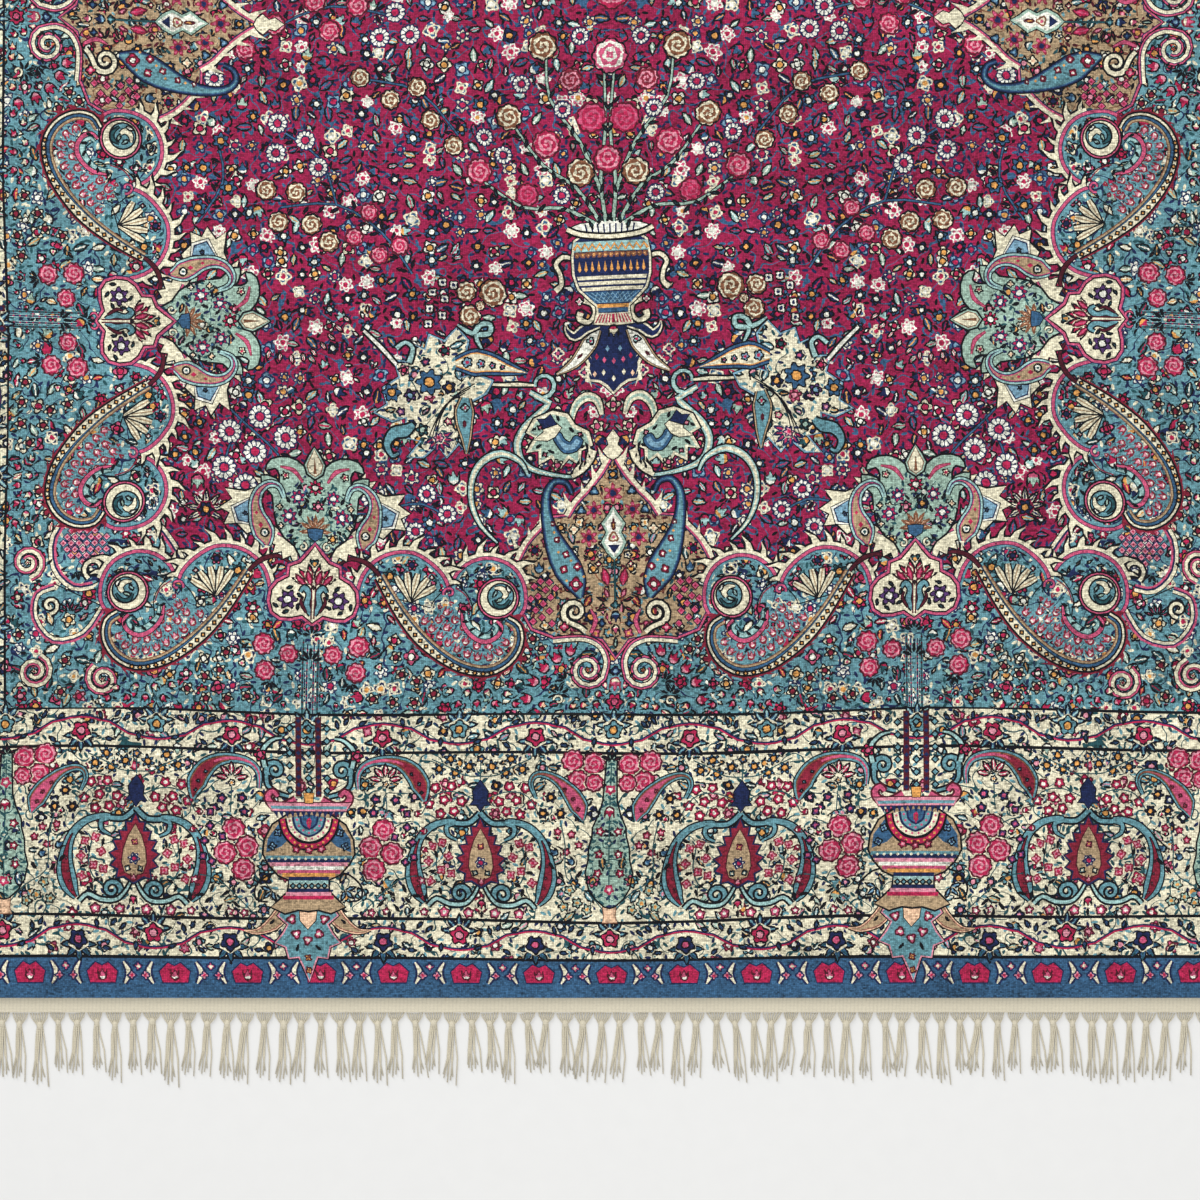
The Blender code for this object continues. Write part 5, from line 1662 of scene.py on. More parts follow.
# %% [markdown]
# ## Closing the pile
# The rim is made of every side that only one triangle has. From there a low wall goes down to the
# foundation. The underside is cut from the rim alone, so it takes far fewer triangles than the top.
# %% Close a piece of pile
def close_pile(name, flat, faces, yarns, looks, places, material):
    """Lift the flat cloth into shape, and add its rim and underside."""
    pairs = np.concatenate([faces[:, (0, 1)], faces[:, (1, 2)], faces[:, (2, 0)]])
    owner = np.tile(np.arange(len(faces)), 3)
    seen = {}
    for (a, b), face in zip(pairs.tolist(), owner.tolist()):
        if seen.pop((b, a), None) is None:
            seen[(a, b)] = face
    rim = sorted({i for pair in seen for i in pair})
    low = {i: len(flat) + k for k, i in enumerate(rim)}
    where = {i: k for k, i in enumerate(rim)}
    rim_points = [Vector(flat[i]) for i in rim]
    under = delaunay_2d_cdt(rim_points, [(where[a], where[b]) for a, b in seen], [], 0, 1e-7)
    x, y = wander(flat[:, 0], flat[:, 1])
    top = np.column_stack([x, y, pile_top(x, y)])
    bottom = np.column_stack([x[rim], y[rim], lift(x[rim], y[rim]) + WEB_HEIGHT])
    skirts, skirt_yarns = [], []
    for (a, b), face in seen.items():
        skirts += [(a, low[a], low[b]), (a, low[b], b)]
        skirt_yarns += [yarns[face]] * 2
    floor = underside(flat, rim, low, seen, under)
    all_faces = np.concatenate([faces, np.array(skirts), floor])
    extra = len(all_faces) - len(faces)
    ground = np.concatenate([yarns, skirt_yarns, np.full(len(floor), NUMBER["cream"], float)])
    looks = np.concatenate([looks, np.zeros((extra, 6))])
    places = np.concatenate([places, np.zeros((extra, 3, 3))])
    mesh = bpy.data.meshes.new(name)
    mesh.from_pydata(np.concatenate([top, bottom]).tolist(), [], all_faces.tolist())
    add_numbers(mesh, "ground_yarn", "FLOAT", "FACE", ground)
    add_numbers(mesh, "bloom_form", "FLOAT_VECTOR", "FACE", looks[:, :3])
    add_numbers(mesh, "bloom_yarns", "FLOAT_VECTOR", "FACE", looks[:, 3:])
    add_numbers(mesh, "bloom_place", "FLOAT_VECTOR", "CORNER", places.reshape(-1, 3))
    mesh.shade_smooth()
    mesh.set_sharp_from_angle(angle=SHARP)
    mesh.materials.append(material)
    return link(name, mesh)


def underside(flat, rim, low, seen, under):
    """The underside's triangles: those of the rim's own triangulation that lie inside the rim."""
    points, triangles = under[0], under[2]
    index = kdtree.KDTree(len(rim))
    for k, i in enumerate(rim):
        index.insert((flat[i][0], flat[i][1], 0), k)
    index.balance()
    same = [index.find((p[0], p[1], 0))[1] for p in points]
    middles = np.array([[sum(points[i][k] for i in t) / 3 for k in (0, 1)] for t in triangles])
    found = np.zeros(len(triangles), bool)
    for a, b in seen:
        (ax, ay), (bx, by) = flat[a], flat[b]
        if ay != by:
            crossing = (ay > middles[:, 1]) != (by > middles[:, 1])
            found ^= crossing & (middles[:, 0] < (bx - ax) * (middles[:, 1] - ay) / (by - ay) + ax)
    out = []
    for triangle in np.array(triangles)[found]:
        a, b, c = (low[rim[same[i]]] for i in triangle)
        out.append((a, c, b))
    return np.array(out)


def add_numbers(mesh, name, kind, domain, values):
    """Give a mesh a row of numbers of its own."""
    layer = mesh.attributes.new(name, kind, domain)
    layer.data.foreach_set("value" if kind == "FLOAT" else "vector", np.asarray(values, np.float32).ravel())


def link(name, mesh):
    """Put a mesh in the scene as a new piece."""
    piece = bpy.data.objects.new(name, mesh)
    bpy.context.scene.collection.objects.link(piece)
    return piece


print("the pile stands", WEB_HEIGHT * 1000, "mm up, on its foundation")

# %% [markdown]
# ## Shader maths as plain expressions
# A material is a recipe of nodes. One small class wraps a node's output, so that sums and comparisons can
# be written as Python. A material made this way reads like the description of the finish.
# %% Values
class Value:
    """The output of a node. Sums and comparisons on it add Math nodes."""

    def __init__(self, recipe, socket):
        self.recipe, self.socket = recipe, socket

    def maths(self, operation, other=None, swap=False):
        """A Math node on this value, and on another one where the sum takes two."""
        pair = {0: other, 1: self} if swap else {0: self, 1: other}
        sockets = {key: value for key, value in pair.items() if value is not None}
        return self.recipe.node("ShaderNodeMath", {"operation": operation}, sockets)


OPERATIONS = {
    "__add__": "ADD", "__sub__": "SUBTRACT", "__mul__": "MULTIPLY", "__truediv__": "DIVIDE",
    "__gt__": "GREATER_THAN", "__lt__": "LESS_THAN", "least": "MINIMUM", "most": "MAXIMUM",
    "sin": "SINE", "cos": "COSINE", "size": "ABSOLUTE", "root": "SQRT", "part": "FRACT", "whole": "FLOOR",
}


def teach(method, operation, swap=False):
    """Give every Value a method, or the reflected form of one, that adds this Math node."""
    setattr(Value, method, lambda value, other=None: value.maths(operation, other, swap))


for method, operation in OPERATIONS.items():
    teach(method, operation)
    if operation in ("ADD", "SUBTRACT", "MULTIPLY", "DIVIDE"):
        teach(method.replace("__", "__r", 1), operation, True)


print("a value has", len(OPERATIONS), "kinds of sum and comparison")

# %% [markdown]
# ## Graphs and recipes
# Every other node comes from one method, whether it belongs to a material or to Geometry Nodes. A recipe
# adds what only a material needs: mixing, noise, and the shader at its end.
# %% Graphs and recipes
class Graph:
    """A node tree, of a material or of Geometry Nodes."""

    def __init__(self, tree):
        self.tree = tree
        self.tree.nodes.clear()

    def node(self, kind, settings=None, sockets=None, out=0):
        """Add a node with its settings and inputs, and give back one of its outputs."""
        made = self.tree.nodes.new(kind)
        for key, setting in (settings or {}).items():
            if key == "stops":
                self.set_stops(made.color_ramp, setting)
            else:
                setattr(made, key, setting)
        for key, value in (sockets or {}).items():
            if isinstance(value, Value):
                self.tree.links.new(value.socket, made.inputs[key])
            else:
                made.inputs[key].default_value = value
        return Value(self, made.outputs[out])

    def set_stops(self, ramp, stops):
        """Fill a colour ramp with hard steps."""
        ramp.interpolation = "CONSTANT"
        ramp.elements.remove(ramp.elements[1])
        ramp.elements[0].position = stops[0][0]
        ramp.elements[0].color = stops[0][1]
        for place, colour in stops[1:]:
            ramp.elements.new(place).color = colour

    def vector(self, x, y, z):
        """Three numbers as one vector."""
        return self.node("ShaderNodeCombineXYZ", None, {0: x, 1: y, 2: z})


class Recipe(Graph):
    """A material and its nodes."""

    def __init__(self, name):
        self.material = bpy.data.materials.new(name)
        self.material.use_nodes = True
        super().__init__(self.material.node_tree)

    def pick(self, mask, no, yes):
        """One of two numbers, by a mask of 0 or 1."""
        return self.node("ShaderNodeMix", {"data_type": "FLOAT"}, {0: mask, 2: no, 3: yes})

    def parts(self, vector):
        """The three numbers of a vector."""
        split = self.node("ShaderNodeSeparateXYZ", None, {0: vector}).socket.node
        return [Value(self, split.outputs[i]) for i in range(3)]

    def scaled(self, colour, amount):
        """A colour made lighter or darker."""
        return self.node("ShaderNodeVectorMath", {"operation": "SCALE"}, {0: colour, "Scale": amount})

    def noise(self, place, scale, detail=2.0, rough=0.5):
        """Soft noise at a place."""
        sockets = {"Vector": place, "Scale": scale, "Detail": detail, "Roughness": rough}
        return self.node("ShaderNodeTexNoise", None, sockets)

    def finish(self, colour, roughness, normal, sheen=0.0, sheen_tint=(1, 1, 1, 1)):
        """Close the recipe with a shader, and give back the material."""
        sockets = {"Base Color": colour, "Roughness": roughness, "Normal": normal}
        sockets |= {"Sheen Weight": sheen, "Sheen Roughness": 0.5, "Sheen Tint": sheen_tint}
        sockets |= {"Specular IOR Level": 0.2}
        shader = self.node("ShaderNodeBsdfPrincipled", None, sockets)
        output = self.tree.nodes.new("ShaderNodeOutputMaterial")
        self.tree.links.new(shader.socket, output.inputs["Surface"])
        return self.material


print("a recipe can", ", ".join(name for name in vars(Recipe) if not name.startswith("_")))

# %% [markdown]
# ## The wool of the pile
# Every knot is one tuft of one yarn, about a millimetre and a half across, cut off short. So the wool has
# a grain at the size of its knots: each differs a little in tone at random, with painted shade between
# rows and painted sheen in streaks along them. Dye lots differ too, which shows as soft bands across the
# rug, called abrash; these bands are made strong enough to stand also for broad painted sheen, and cloudy
# patches of painted light and shade lie over them. The blooms' petals are drawn here, from each cell's own
# unit frame, and end as a yarn number like everything else; one colour ramp of hard steps turns the
# numbers into dyed wool.
# %% Yarns by chance and by bloom
KNOT_X, KNOT_Y = 0.00152, 0.00140
YARN_STOPS = [(i / RAMP_STOPS, (*(light_value(c) for c in rgb), 1.0)) for i, rgb in enumerate(YARNS.values())]

# For each strewn ground, in the order of MEADOWS: the yarns of its small leaves, stems, flowers, larger
# leaves, outlines and hearts. A yarn that is named twice comes up twice as often.
LEAFLETS = ("navy blue ink navy", "pine navy cream", "pine teal navy", "pine navy",
            "pine wine teal")
STEMS = ("blue", "navy", "pine", "pine", "brown")
FLOWERS = ("cream blue ivory sky navy cream rose blue", "cream rose navy ivory crimson",
           "crimson teal navy rose blue teal", "crimson navy cream rose",
           "crimson rose cream navy teal")
LEAVES = ("blue navy aqua sage", "pine sage crimson cream", "teal pine sage teal",
          "navy blue pine", "pine teal brick")
RIMS = ("ink cream ink navy ink navy ivory ink", "ink ink cream navy ink",
        "wine ink ink wine ink ink", "ink", "ink wine ink ink ink")
HEARTS = ("crimson gold ivory", "crimson gold ivory", "ivory gold pink", "ivory gold pink",
          "ivory gold pink")
# Numbers halfway between two grounds tell a shader on which side of them a ground's number is.
CREAM_UP, SAND_UP = NUMBER["cream meadow"] - 0.5, NUMBER["sand meadow"] - 0.5


def attribute_parts(recipe, name):
    """The three numbers that the mesh carries under a name."""
    return recipe.parts(recipe.node("ShaderNodeAttribute", {"attribute_name": name}, out=1))


def scattered(recipe, x, y, pitch, seed):
    """Scattered centres about a pitch apart: the way to the nearest one, and three chances of its own."""
    place = recipe.vector(x / pitch, y / pitch, seed)
    sockets = {"Vector": place, "Scale": 1.0, "Randomness": 0.72}
    found = recipe.node("ShaderNodeTexVoronoi", {"voronoi_dimensions": "2D"}, sockets, out=2).socket.node
    near_x, near_y, _ = recipe.parts(Value(recipe, found.outputs["Position"]))
    return [(x / pitch - near_x) * pitch, (y / pitch - near_y) * pitch,
            *recipe.parts(Value(recipe, found.outputs["Color"]))]


def by_chance(recipe, chance, names, grounds):
    """A yarn number for each kind of ground, drawn by a chance from its own row of names."""
    chosen = None
    for kind, row in enumerate(names):
        row = row.split()
        number = float(NUMBER[row[0]])
        for i, name in enumerate(row[1:]):
            number = recipe.pick(chance > (i + 1) / len(row), number, float(NUMBER[name]))
        chosen = number if chosen is None else recipe.pick(grounds[kind], chosen, number)
    return chosen


def meadow(recipe, x, y, ground):
    """Small flowers, leaves and buds on the strewn grounds, in the same terms as the blooms of the chart."""
    x, y = x.size() * CM_PER_METRE, y.size() * CM_PER_METRE
    grounds = [ground > FIRST_MEADOW + kind - 0.5 for kind in range(len(MEADOWS))]
    plain = by_chance(recipe, x, MEADOWS.values(), grounds)
    # Thin stems wander between the flowers, and a lower layer of little leaves fills the gaps.
    wave = recipe.noise(recipe.vector(x, y, 0.0), 0.22, 2.0, 0.5)
    stem = ((wave * 9.0).part() - 0.5).size() < 0.045
    du, dv, first, second, third = scattered(recipe, x, y, 0.66, 7.0)
    turn = first * math.tau
    u, v = du * turn.cos() + dv * turn.sin(), dv * turn.cos() - du * turn.sin()
    leaflet = (u * u * 0.3 + v * v * 1.5).root() < 0.145
    base = recipe.pick(leaflet * (third > 0.2), plain, by_chance(recipe, second, LEAFLETS, grounds))
    base = recipe.pick(stem, base, by_chance(recipe, second, STEMS, grounds))
    # The flowers themselves.
    du, dv, first, second, third = scattered(recipe, x, y, 1.3, 2.0)
    size = recipe.pick(ground > CREAM_UP, 0.52, 0.46) + (first * 7.0).part() * 0.24
    turn = second * math.tau
    u, v = (du * turn.cos() + dv * turn.sin()) / size, (dv * turn.cos() - du * turn.sin()) / size
    is_leaf, is_bud = first > 0.52, first > 0.88
    form = recipe.pick(is_bud, recipe.pick(is_leaf, 1.0, 4.0), 5.0)
    petals = recipe.pick(third > 0.55, 4.0, 6.0)
    depth = recipe.pick(is_leaf, 0.3, 0.5)
    petal = recipe.pick(is_leaf, by_chance(recipe, third, FLOWERS, grounds),
                        by_chance(recipe, third, LEAVES, grounds))
    heart = by_chance(recipe, (third * 5.0).part(), HEARTS, grounds)
    # The cream and sage grounds keep more of their own colour in sight.
    form = form * recipe.pick((ground > CREAM_UP) * (ground < SAND_UP), 1.0, second < 0.66)
    rim = recipe.pick(is_leaf, by_chance(recipe, third, RIMS, grounds), float(NUMBER["ink"]))
    return plain, base, (u, v, size), (form, petals, depth), (petal, heart, rim)


def bloom_yarn(recipe, x, y, ground, jitter_x, jitter_y):
    """The yarn number at a place: the ground's, or a part of the bloom drawn over it."""
    drawn = [attribute_parts(recipe, name) for name in ("bloom_place", "bloom_form", "bloom_yarns")]
    plain, strewn, *wild = meadow(recipe, x, y, ground)
    on_meadow = ground > FIRST_MEADOW - 0.5
    is_strewn = on_meadow * (drawn[1][0] < 0.5)
    ground = recipe.pick(is_strewn, recipe.pick(on_meadow, ground, plain), strewn)
    mixed = [[recipe.pick(is_strewn, a, b) for a, b in zip(*rows)] for rows in zip(drawn, wild)]
    (u, v, size), (form, petals, depth), (petal, heart, rim) = mixed
    unit = size.most(0.05)
    u = u + jitter_x / unit
    v = v + jitter_y / unit
    edge = 0.16 / unit
    radius = (u * u + v * v).root()
    angle = v.maths("ARCTAN2", u)
    lobes = (angle * petals).cos() * 0.5 + 0.5
    flower = 1.0 - depth * (1.0 - lobes) - radius
    leaf = depth * (1.0 - u * u) * (1.0 - u * 0.25) - v.size()
    tip = (v * 9.2).cos() * 0.3 + 0.55 - u
    cup = 0.86 - (u * u + v * v * 1.5).root()
    bud = tip.least((0.72 - v.size()).least(recipe.pick(u > 0.0, cup, 1.0)))
    is_leaf = (form > 3.5) * (form < 4.5)
    is_bud = form > 4.5
    inside = recipe.pick(is_bud, recipe.pick(is_leaf, flower, leaf), bud)
    # A form's number is met by a half on either side of it.
    # Hearts: a round eye, the gaps between a daisy's petals, a rose's rings, a leaf's rib, a bud's cup.
    eye = radius < 0.3
    ringed = (radius < 0.3 + edge * 0.8) * (form < 2.5)
    gaps = (lobes < 0.16) * (form > 1.5) * (form < 2.5)
    swirl = ((radius + (angle * 5.0 + radius * 11.0).sin() * 0.045) * 17.0 + angle).sin() > -0.2
    rose_rings = swirl * (form > 2.5) * (form < 3.5)
    rib = (v.size() < 0.07) * (u < 0.5) * is_leaf * (size > 0.45)
    cup_heart = (u < -0.25) * is_bud
    covered = (inside > 0.0) * (form > 0.5)
    filled = (inside > edge) * covered
    hearted = filled * ((eye * (form < 2.5)).most(rose_rings).most(rib).most(cup_heart))
    yarn = recipe.pick(covered, ground, rim)
    yarn = recipe.pick(filled, yarn, petal)
    yarn = recipe.pick(filled * (ringed * (size > 0.5)).most(gaps), yarn, rim)
    return recipe.pick(hearted, yarn, heart)


print("blooms have", len(FORMS), "forms, and their grounds are", ", ".join(MEADOWS))

# %% [markdown]
# ## Wool from the yarn numbers
# The material finds the yarn of each knot and looks its colour up. Then come the tones: knot by knot and
# in dye bands, then painted light and shade in clouds, painted sheen in streaks and painted shade between
# the rows, and a bump that stands for the cut ends of the wool.
# %% The pile's wool
def pile_wool():
    """Cut wool: yarns by number, with a grain the size of its knots, painted sheen and painted shade."""
    recipe = Recipe("pile_wool")
    place = recipe.node("ShaderNodeTexCoord", out=3)
    x, y, _ = recipe.parts(place)
    sway = recipe.noise(place, 45.0, 2.0, 0.5) - 0.5
    cell_x, cell_y = x / KNOT_X + sway * 2.2, y / KNOT_Y - sway * 2.6
    cell = recipe.vector(cell_x.whole(), cell_y.whole(), 0.0)
    chance = recipe.node("ShaderNodeTexWhiteNoise", {"noise_dimensions": "3D"}, {"Vector": cell}, out=1)
    first, second, third = recipe.parts(chance)
    ground = recipe.node("ShaderNodeAttribute", {"attribute_name": "ground_yarn"}, out=2)
    yarn = bloom_yarn(recipe, x, y, ground, (first - 0.5) * 0.09, (second - 0.5) * 0.09)
    dyed = recipe.node("ShaderNodeValToRGB", {"stops": YARN_STOPS}, {0: (yarn + 0.5) / RAMP_STOPS})
    # Tone: knot by knot at random, in soft dye bands across the rug that are strong enough to stand also for
    # broad painted sheen, in cloudy patches of painted light and shade, in painted sheen streaks, and with
    # painted shade between the rows.
    bands = recipe.noise(recipe.vector(x * 1.5, y * 16.0, 0.0), 1.0, 3.0, 0.6)
    # Painted light and shade: broad cloudy patches, lighter and darker.
    light_and_shade_clouds = recipe.noise(place, 26.0, 2.0, 0.5)
    fibre = recipe.noise(place, 900.0, 2.0, 0.6)
    # Painted sheen: short light streaks along the rows of pile; the same streaks go into the bump.
    pile_streaks_and_sheen = recipe.noise(recipe.vector(x * 230.0, y * 520.0, 3.0), 1.0, 2.0, 0.65)
    # Painted shade: each knot darker towards its edges, as between the rows; the same dome shapes the bump.
    dome_and_row_shade = (cell_x.part() * math.pi).sin() * (cell_y.part() * math.pi).sin()
    tone = 0.94 + (third - 0.5) * 0.6 + (pile_streaks_and_sheen - 0.5) * 2.0 + (fibre - 0.5) * 0.5
    tone = (tone + (bands - 0.5) * 0.5 + (light_and_shade_clouds - 0.5) * 0.8).most(0.22) * (0.7 + dome_and_row_shade * 0.38)
    colour = recipe.scaled(dyed, tone)
    height = dome_and_row_shade * 0.4 + pile_streaks_and_sheen * 0.9 + fibre * 0.4 + third * 0.3
    bump = recipe.node("ShaderNodeBump", None, {"Strength": 0.5, "Distance": 0.0006, "Height": height})
    return recipe.finish(colour, 0.82 + fibre * 0.14, bump, 0.1)


PILE_WOOL = pile_wool()
print("pile wool has", len(PILE_WOOL.node_tree.nodes), "nodes")
# %% [markdown]
# ## Weaving the pile
# Now the chart is cut and its triangles are made into cloth. Each end of the rug gets one piece for the
# field and one for its borders, so there are four pieces, and all of them carry the same wool.
# %% Make the four pieces of pile
def weave_pile():
    """The four pieces of pile: the field and its borders, at the near and the far end."""
    corners, triangles = cut_outlines(QUARTER.areas)
    yarns, blooms, middles = topmost(QUARTER.areas, corners, triangles)
    in_rug = (yarns >= 0) & (middles[:, 0] > 0) & (middles[:, 1] > 0)
    in_field = (middles[:, 0] < FIELD_X) & (middles[:, 1] < FIELD_Y)
    made = []
    for part, chosen in (("field", in_rug & in_field), ("border", in_rug & ~in_field)):
        print("a quarter of the", part, "has", int(chosen.sum()), "triangles")
        for end_name, end in (("near", -1), ("far", 1)):
            rows = (triangles[chosen], yarns[chosen], blooms[chosen])
            made.append(pile_piece(f"pile_{part}_{end_name}", QUARTER.areas, corners, *rows, end, PILE_WOOL))
    return made


PILE = weave_pile()
for piece in PILE:
    print(piece.name, len(piece.data.polygons), "triangles")

# %% [markdown]
# ## The foundation and the flat-woven ends
# Under the pile is the cotton foundation: warps along the rug and wefts across it, between the rows of
# knots. Past the pile it runs on for twelve millimetres as a flat-woven strip that keeps the knots from
# slipping off. It is one closed woven sheet that follows the folds. Its back shows the knots' collars, so
# the design's grounds appear there again, ribbed along the warps, with painted shade between the ribs. The
# cotton is ribbed the same way, in bump and in painted shade.
# %% Cotton and the knotted back
def cotton(name, colour, across, along, ribs):
    """Cotton with ribs, in bump and in painted shade: how many run across, and how many along, in each metre.
    """
    recipe = Recipe(name)
    place = recipe.node("ShaderNodeTexCoord", out=3)
    x, y, z = recipe.parts(place)
    slub = recipe.noise(recipe.vector(x * across * 0.6, y * along * 0.6, z * 300.0), 1.0, 3.0, 0.6)
    fibre = recipe.noise(place, 1400.0, 2.0, 0.6)
    soil = recipe.noise(place, 9.0, 2.0, 0.5)
    rib = ((x * across * math.pi).sin().size() * (y * along * math.pi).sin().size()).root()
    # Painted shade: darker between the ribs of the threads, lighter on them; slub, fibre and soil are the
    # cotton's own tone.
    tone = 0.74 + slub * 0.2 + (fibre - 0.5) * 0.2 + (soil - 0.5) * 0.16 + rib * ribs * 0.14
    sockets = {0: slub, 6: colour, 7: tuple(c * 0.88 for c in colour)}
    shade = recipe.node("ShaderNodeMix", {"data_type": "RGBA"}, sockets, 2)
    sockets = {"Strength": 0.6, "Distance": 0.0005, "Height": rib * ribs + fibre * 0.4 + slub * 0.4}
    bump = recipe.node("ShaderNodeBump", None, sockets)
    return recipe.finish(recipe.scaled(shade, tone), 0.84 + fibre * 0.12, bump, 0.1)


def knotted_back():
    """The back of the pile: the grounds of the design in small ribbed knots, with painted shade between them.
    """
    recipe = Recipe("knotted_back")
    x, y, _ = recipe.parts(recipe.node("ShaderNodeTexCoord", out=3))
    out = (x.size() * CM_PER_METRE - FIELD_X).most(y.size() * CM_PER_METRE - FIELD_Y)
    ground = float(NUMBER["red meadow"])
    steps = ((-TEAL_DEPTH, "teal meadow"), (0.0, "cream meadow"), (RINGS[3], "blue"))
    for start, yarn in steps:
        ground = recipe.pick(out > start, ground, float(NUMBER[yarn]))
    yarn = bloom_yarn(recipe, x, y, ground, 0.0, 0.0)
    dyed = recipe.node("ShaderNodeValToRGB", {"stops": YARN_STOPS}, {0: (yarn + 0.5) / RAMP_STOPS})
    collar_and_shade = (x / KNOT_X * math.pi * 2).sin().size() * (y / KNOT_Y * math.pi).sin().size()
    web = y.size() > PILE_LENGTH / 2
    worn = recipe.node("ShaderNodeMix", {"data_type": "RGBA"}, {0: web, 6: dyed, 7: COTTON}, 2)
    # Painted shade: the wool darker in the grooves between the knots' collars.
    colour = recipe.scaled(worn, 0.6 + collar_and_shade * 0.3)
    bump = recipe.node("ShaderNodeBump", None, {"Strength": 0.5, "Distance": 0.0005, "Height": collar_and_shade})
    return recipe.finish(colour, 0.88 + collar_and_shade * 0.06, bump, 0.05)


COTTON = (0.74, 0.68, 0.53, 1.0)
WEB_COTTON = cotton("web_cotton", COTTON, 330.0, 800.0, 1.0)
BACK = knotted_back()
print("the back of the rug uses", len(BACK.node_tree.nodes), "nodes")
# %% [markdown]
# ## The sheet itself
# The foundation could be a plain box, but a rug never lies quite flat. Its top and its back are therefore
# two grids that follow the folds, with a fine row where the pile ends, and they are joined round the
# edge.
# %% The foundation sheet
WEB_COLUMNS, WEB_ROWS = 64, 92


def weave_foundation():
    """A closed sheet: top and back surfaces that follow the folds, joined round the edge."""
    xs = np.linspace(-PILE_WIDTH / 2, PILE_WIDTH / 2, WEB_COLUMNS + 1)
    inner = np.linspace(-PILE_LENGTH / 2 + 0.001, PILE_LENGTH / 2 - 0.001, WEB_ROWS - 3)
    end = PILE_LENGTH / 2 + WEB_LENGTH
    ys = np.concatenate([[-end, -PILE_LENGTH / 2], inner, [PILE_LENGTH / 2, end]])
    across, along = (grid.ravel() for grid in np.meshgrid(xs, ys, indexing="ij"))
    floor = lift(across, along)
    shown = np.abs(along) >= PILE_LENGTH / 2
    top = np.column_stack([across, along, floor + WEB_HEIGHT - 0.0003 * ~shown])
    back = np.column_stack([across, along, floor])
    rows, count = len(ys), len(across)
    cells = [(i * rows + j, (i + 1) * rows + j, (i + 1) * rows + j + 1, i * rows + j + 1)
             for i in range(len(xs) - 1) for j in range(rows - 1)]
    faces = cells + [tuple(count + k for k in reversed(cell)) for cell in cells]
    rim = [i * rows for i in range(len(xs))] + [(len(xs) - 1) * rows + j for j in range(1, rows)]
    rim += [i * rows + rows - 1 for i in reversed(range(len(xs) - 1))] + list(reversed(range(1, rows - 1)))
    faces += [(b, a, count + a, count + b) for a, b in zip(rim, rim[1:] + rim[:1])]
    mesh = bpy.data.meshes.new("rug_foundation")
    mesh.from_pydata(np.concatenate([top, back]).tolist(), [], faces)
    mesh.materials.append(WEB_COTTON)
    mesh.materials.append(BACK)
    underneath = np.zeros(len(faces), np.int32)
    underneath[len(cells):2 * len(cells)] = 1
    mesh.polygons.foreach_set("material_index", underneath)
    mesh.shade_smooth()
    mesh.set_sharp_from_angle(angle=SHARP)
    return link("rug_foundation", mesh)


FOUNDATION = weave_foundation()
print("foundation", len(FOUNDATION.data.polygons), "faces", tuple(round(v, 4) for v in FOUNDATION.dimensions))

# %% [markdown]
# ## Side cords and fringes
# Along each side the outermost warps are bound into a round cord by overcasting: blue wool is wrapped
# round them, turn after turn. At the ends the warps come out of the flat-woven strip, are knotted in
# bunches and hang free as the fringe. Both are one part repeated along a line, so a Geometry Nodes tree
# sets them out, with a little chance in every turn of wool and every tassel.
# %% One part repeated along a line
def repeat_tree():
    """Geometry Nodes: a part at every point of a mesh, each a little turned and stretched by chance."""
    tree = bpy.data.node_groups.new("repeat_along", "GeometryNodeTree")
    kinds = {"Points": "NodeSocketGeometry", "Part": "NodeSocketObject", "Material": "NodeSocketMaterial",
             "Turn": "NodeSocketFloat", "Lean": "NodeSocketFloat", "Uneven": "NodeSocketFloat",
             "Uneven Width": "NodeSocketFloat", "Stray": "NodeSocketFloat"}
    for name, kind in kinds.items():
        tree.interface.new_socket(name, in_out="INPUT", socket_type=kind)
    tree.interface.new_socket("Result", in_out="OUTPUT", socket_type="NodeSocketGeometry")
    graph = Graph(tree)
    entry = tree.nodes.new("NodeGroupInput")
    given = {name: Value(graph, entry.outputs[name]) for name in kinds}

    def chance(spread, seed, middle):
        """A random number about a middle."""
        sockets = {2: middle - spread, 3: middle + spread, 8: seed}
        return graph.node("FunctionNodeRandomValue", {"data_type": "FLOAT"}, sockets, 1)

    part = graph.node("GeometryNodeObjectInfo", None, {"Object": given["Part"]}, 4)
    turn = given["Turn"] + chance(given["Lean"], 11, 0.0)
    scale = graph.vector(chance(given["Uneven Width"], 12, 1.0), chance(given["Uneven"], 13, 1.0), 1.0)
    sockets = {"Points": given["Points"], "Instance": part, "Rotation": graph.vector(0.0, 0.0, turn),
               "Scale": scale}
    copies = graph.node("GeometryNodeInstanceOnPoints", None, sockets)
    solid = graph.node("GeometryNodeRealizeInstances", None, {"Geometry": copies})
    place = graph.node("GeometryNodeInputPosition")
    wave = graph.node("ShaderNodeTexNoise", None, {"Vector": place, "Scale": 55.0, "Detail": 1.0}, 1)
    centred = graph.node("ShaderNodeVectorMath", {"operation": "SUBTRACT"}, {0: wave, 1: (0.5, 0.5, 0.5)})
    stray = graph.node("ShaderNodeVectorMath", {"operation": "SCALE"}, {0: centred, "Scale": given["Stray"]})
    flat = graph.node("ShaderNodeVectorMath", {"operation": "MULTIPLY"}, {0: stray, 1: (1.0, 1.0, 0.0)})
    moved = graph.node("GeometryNodeSetPosition", None, {"Geometry": solid, "Offset": flat})
    done = graph.node("GeometryNodeSetMaterial", None, {"Geometry": moved, "Material": given["Material"]})
    leave = tree.nodes.new("NodeGroupOutput")
    tree.links.new(done.socket, leave.inputs["Result"])
    return tree


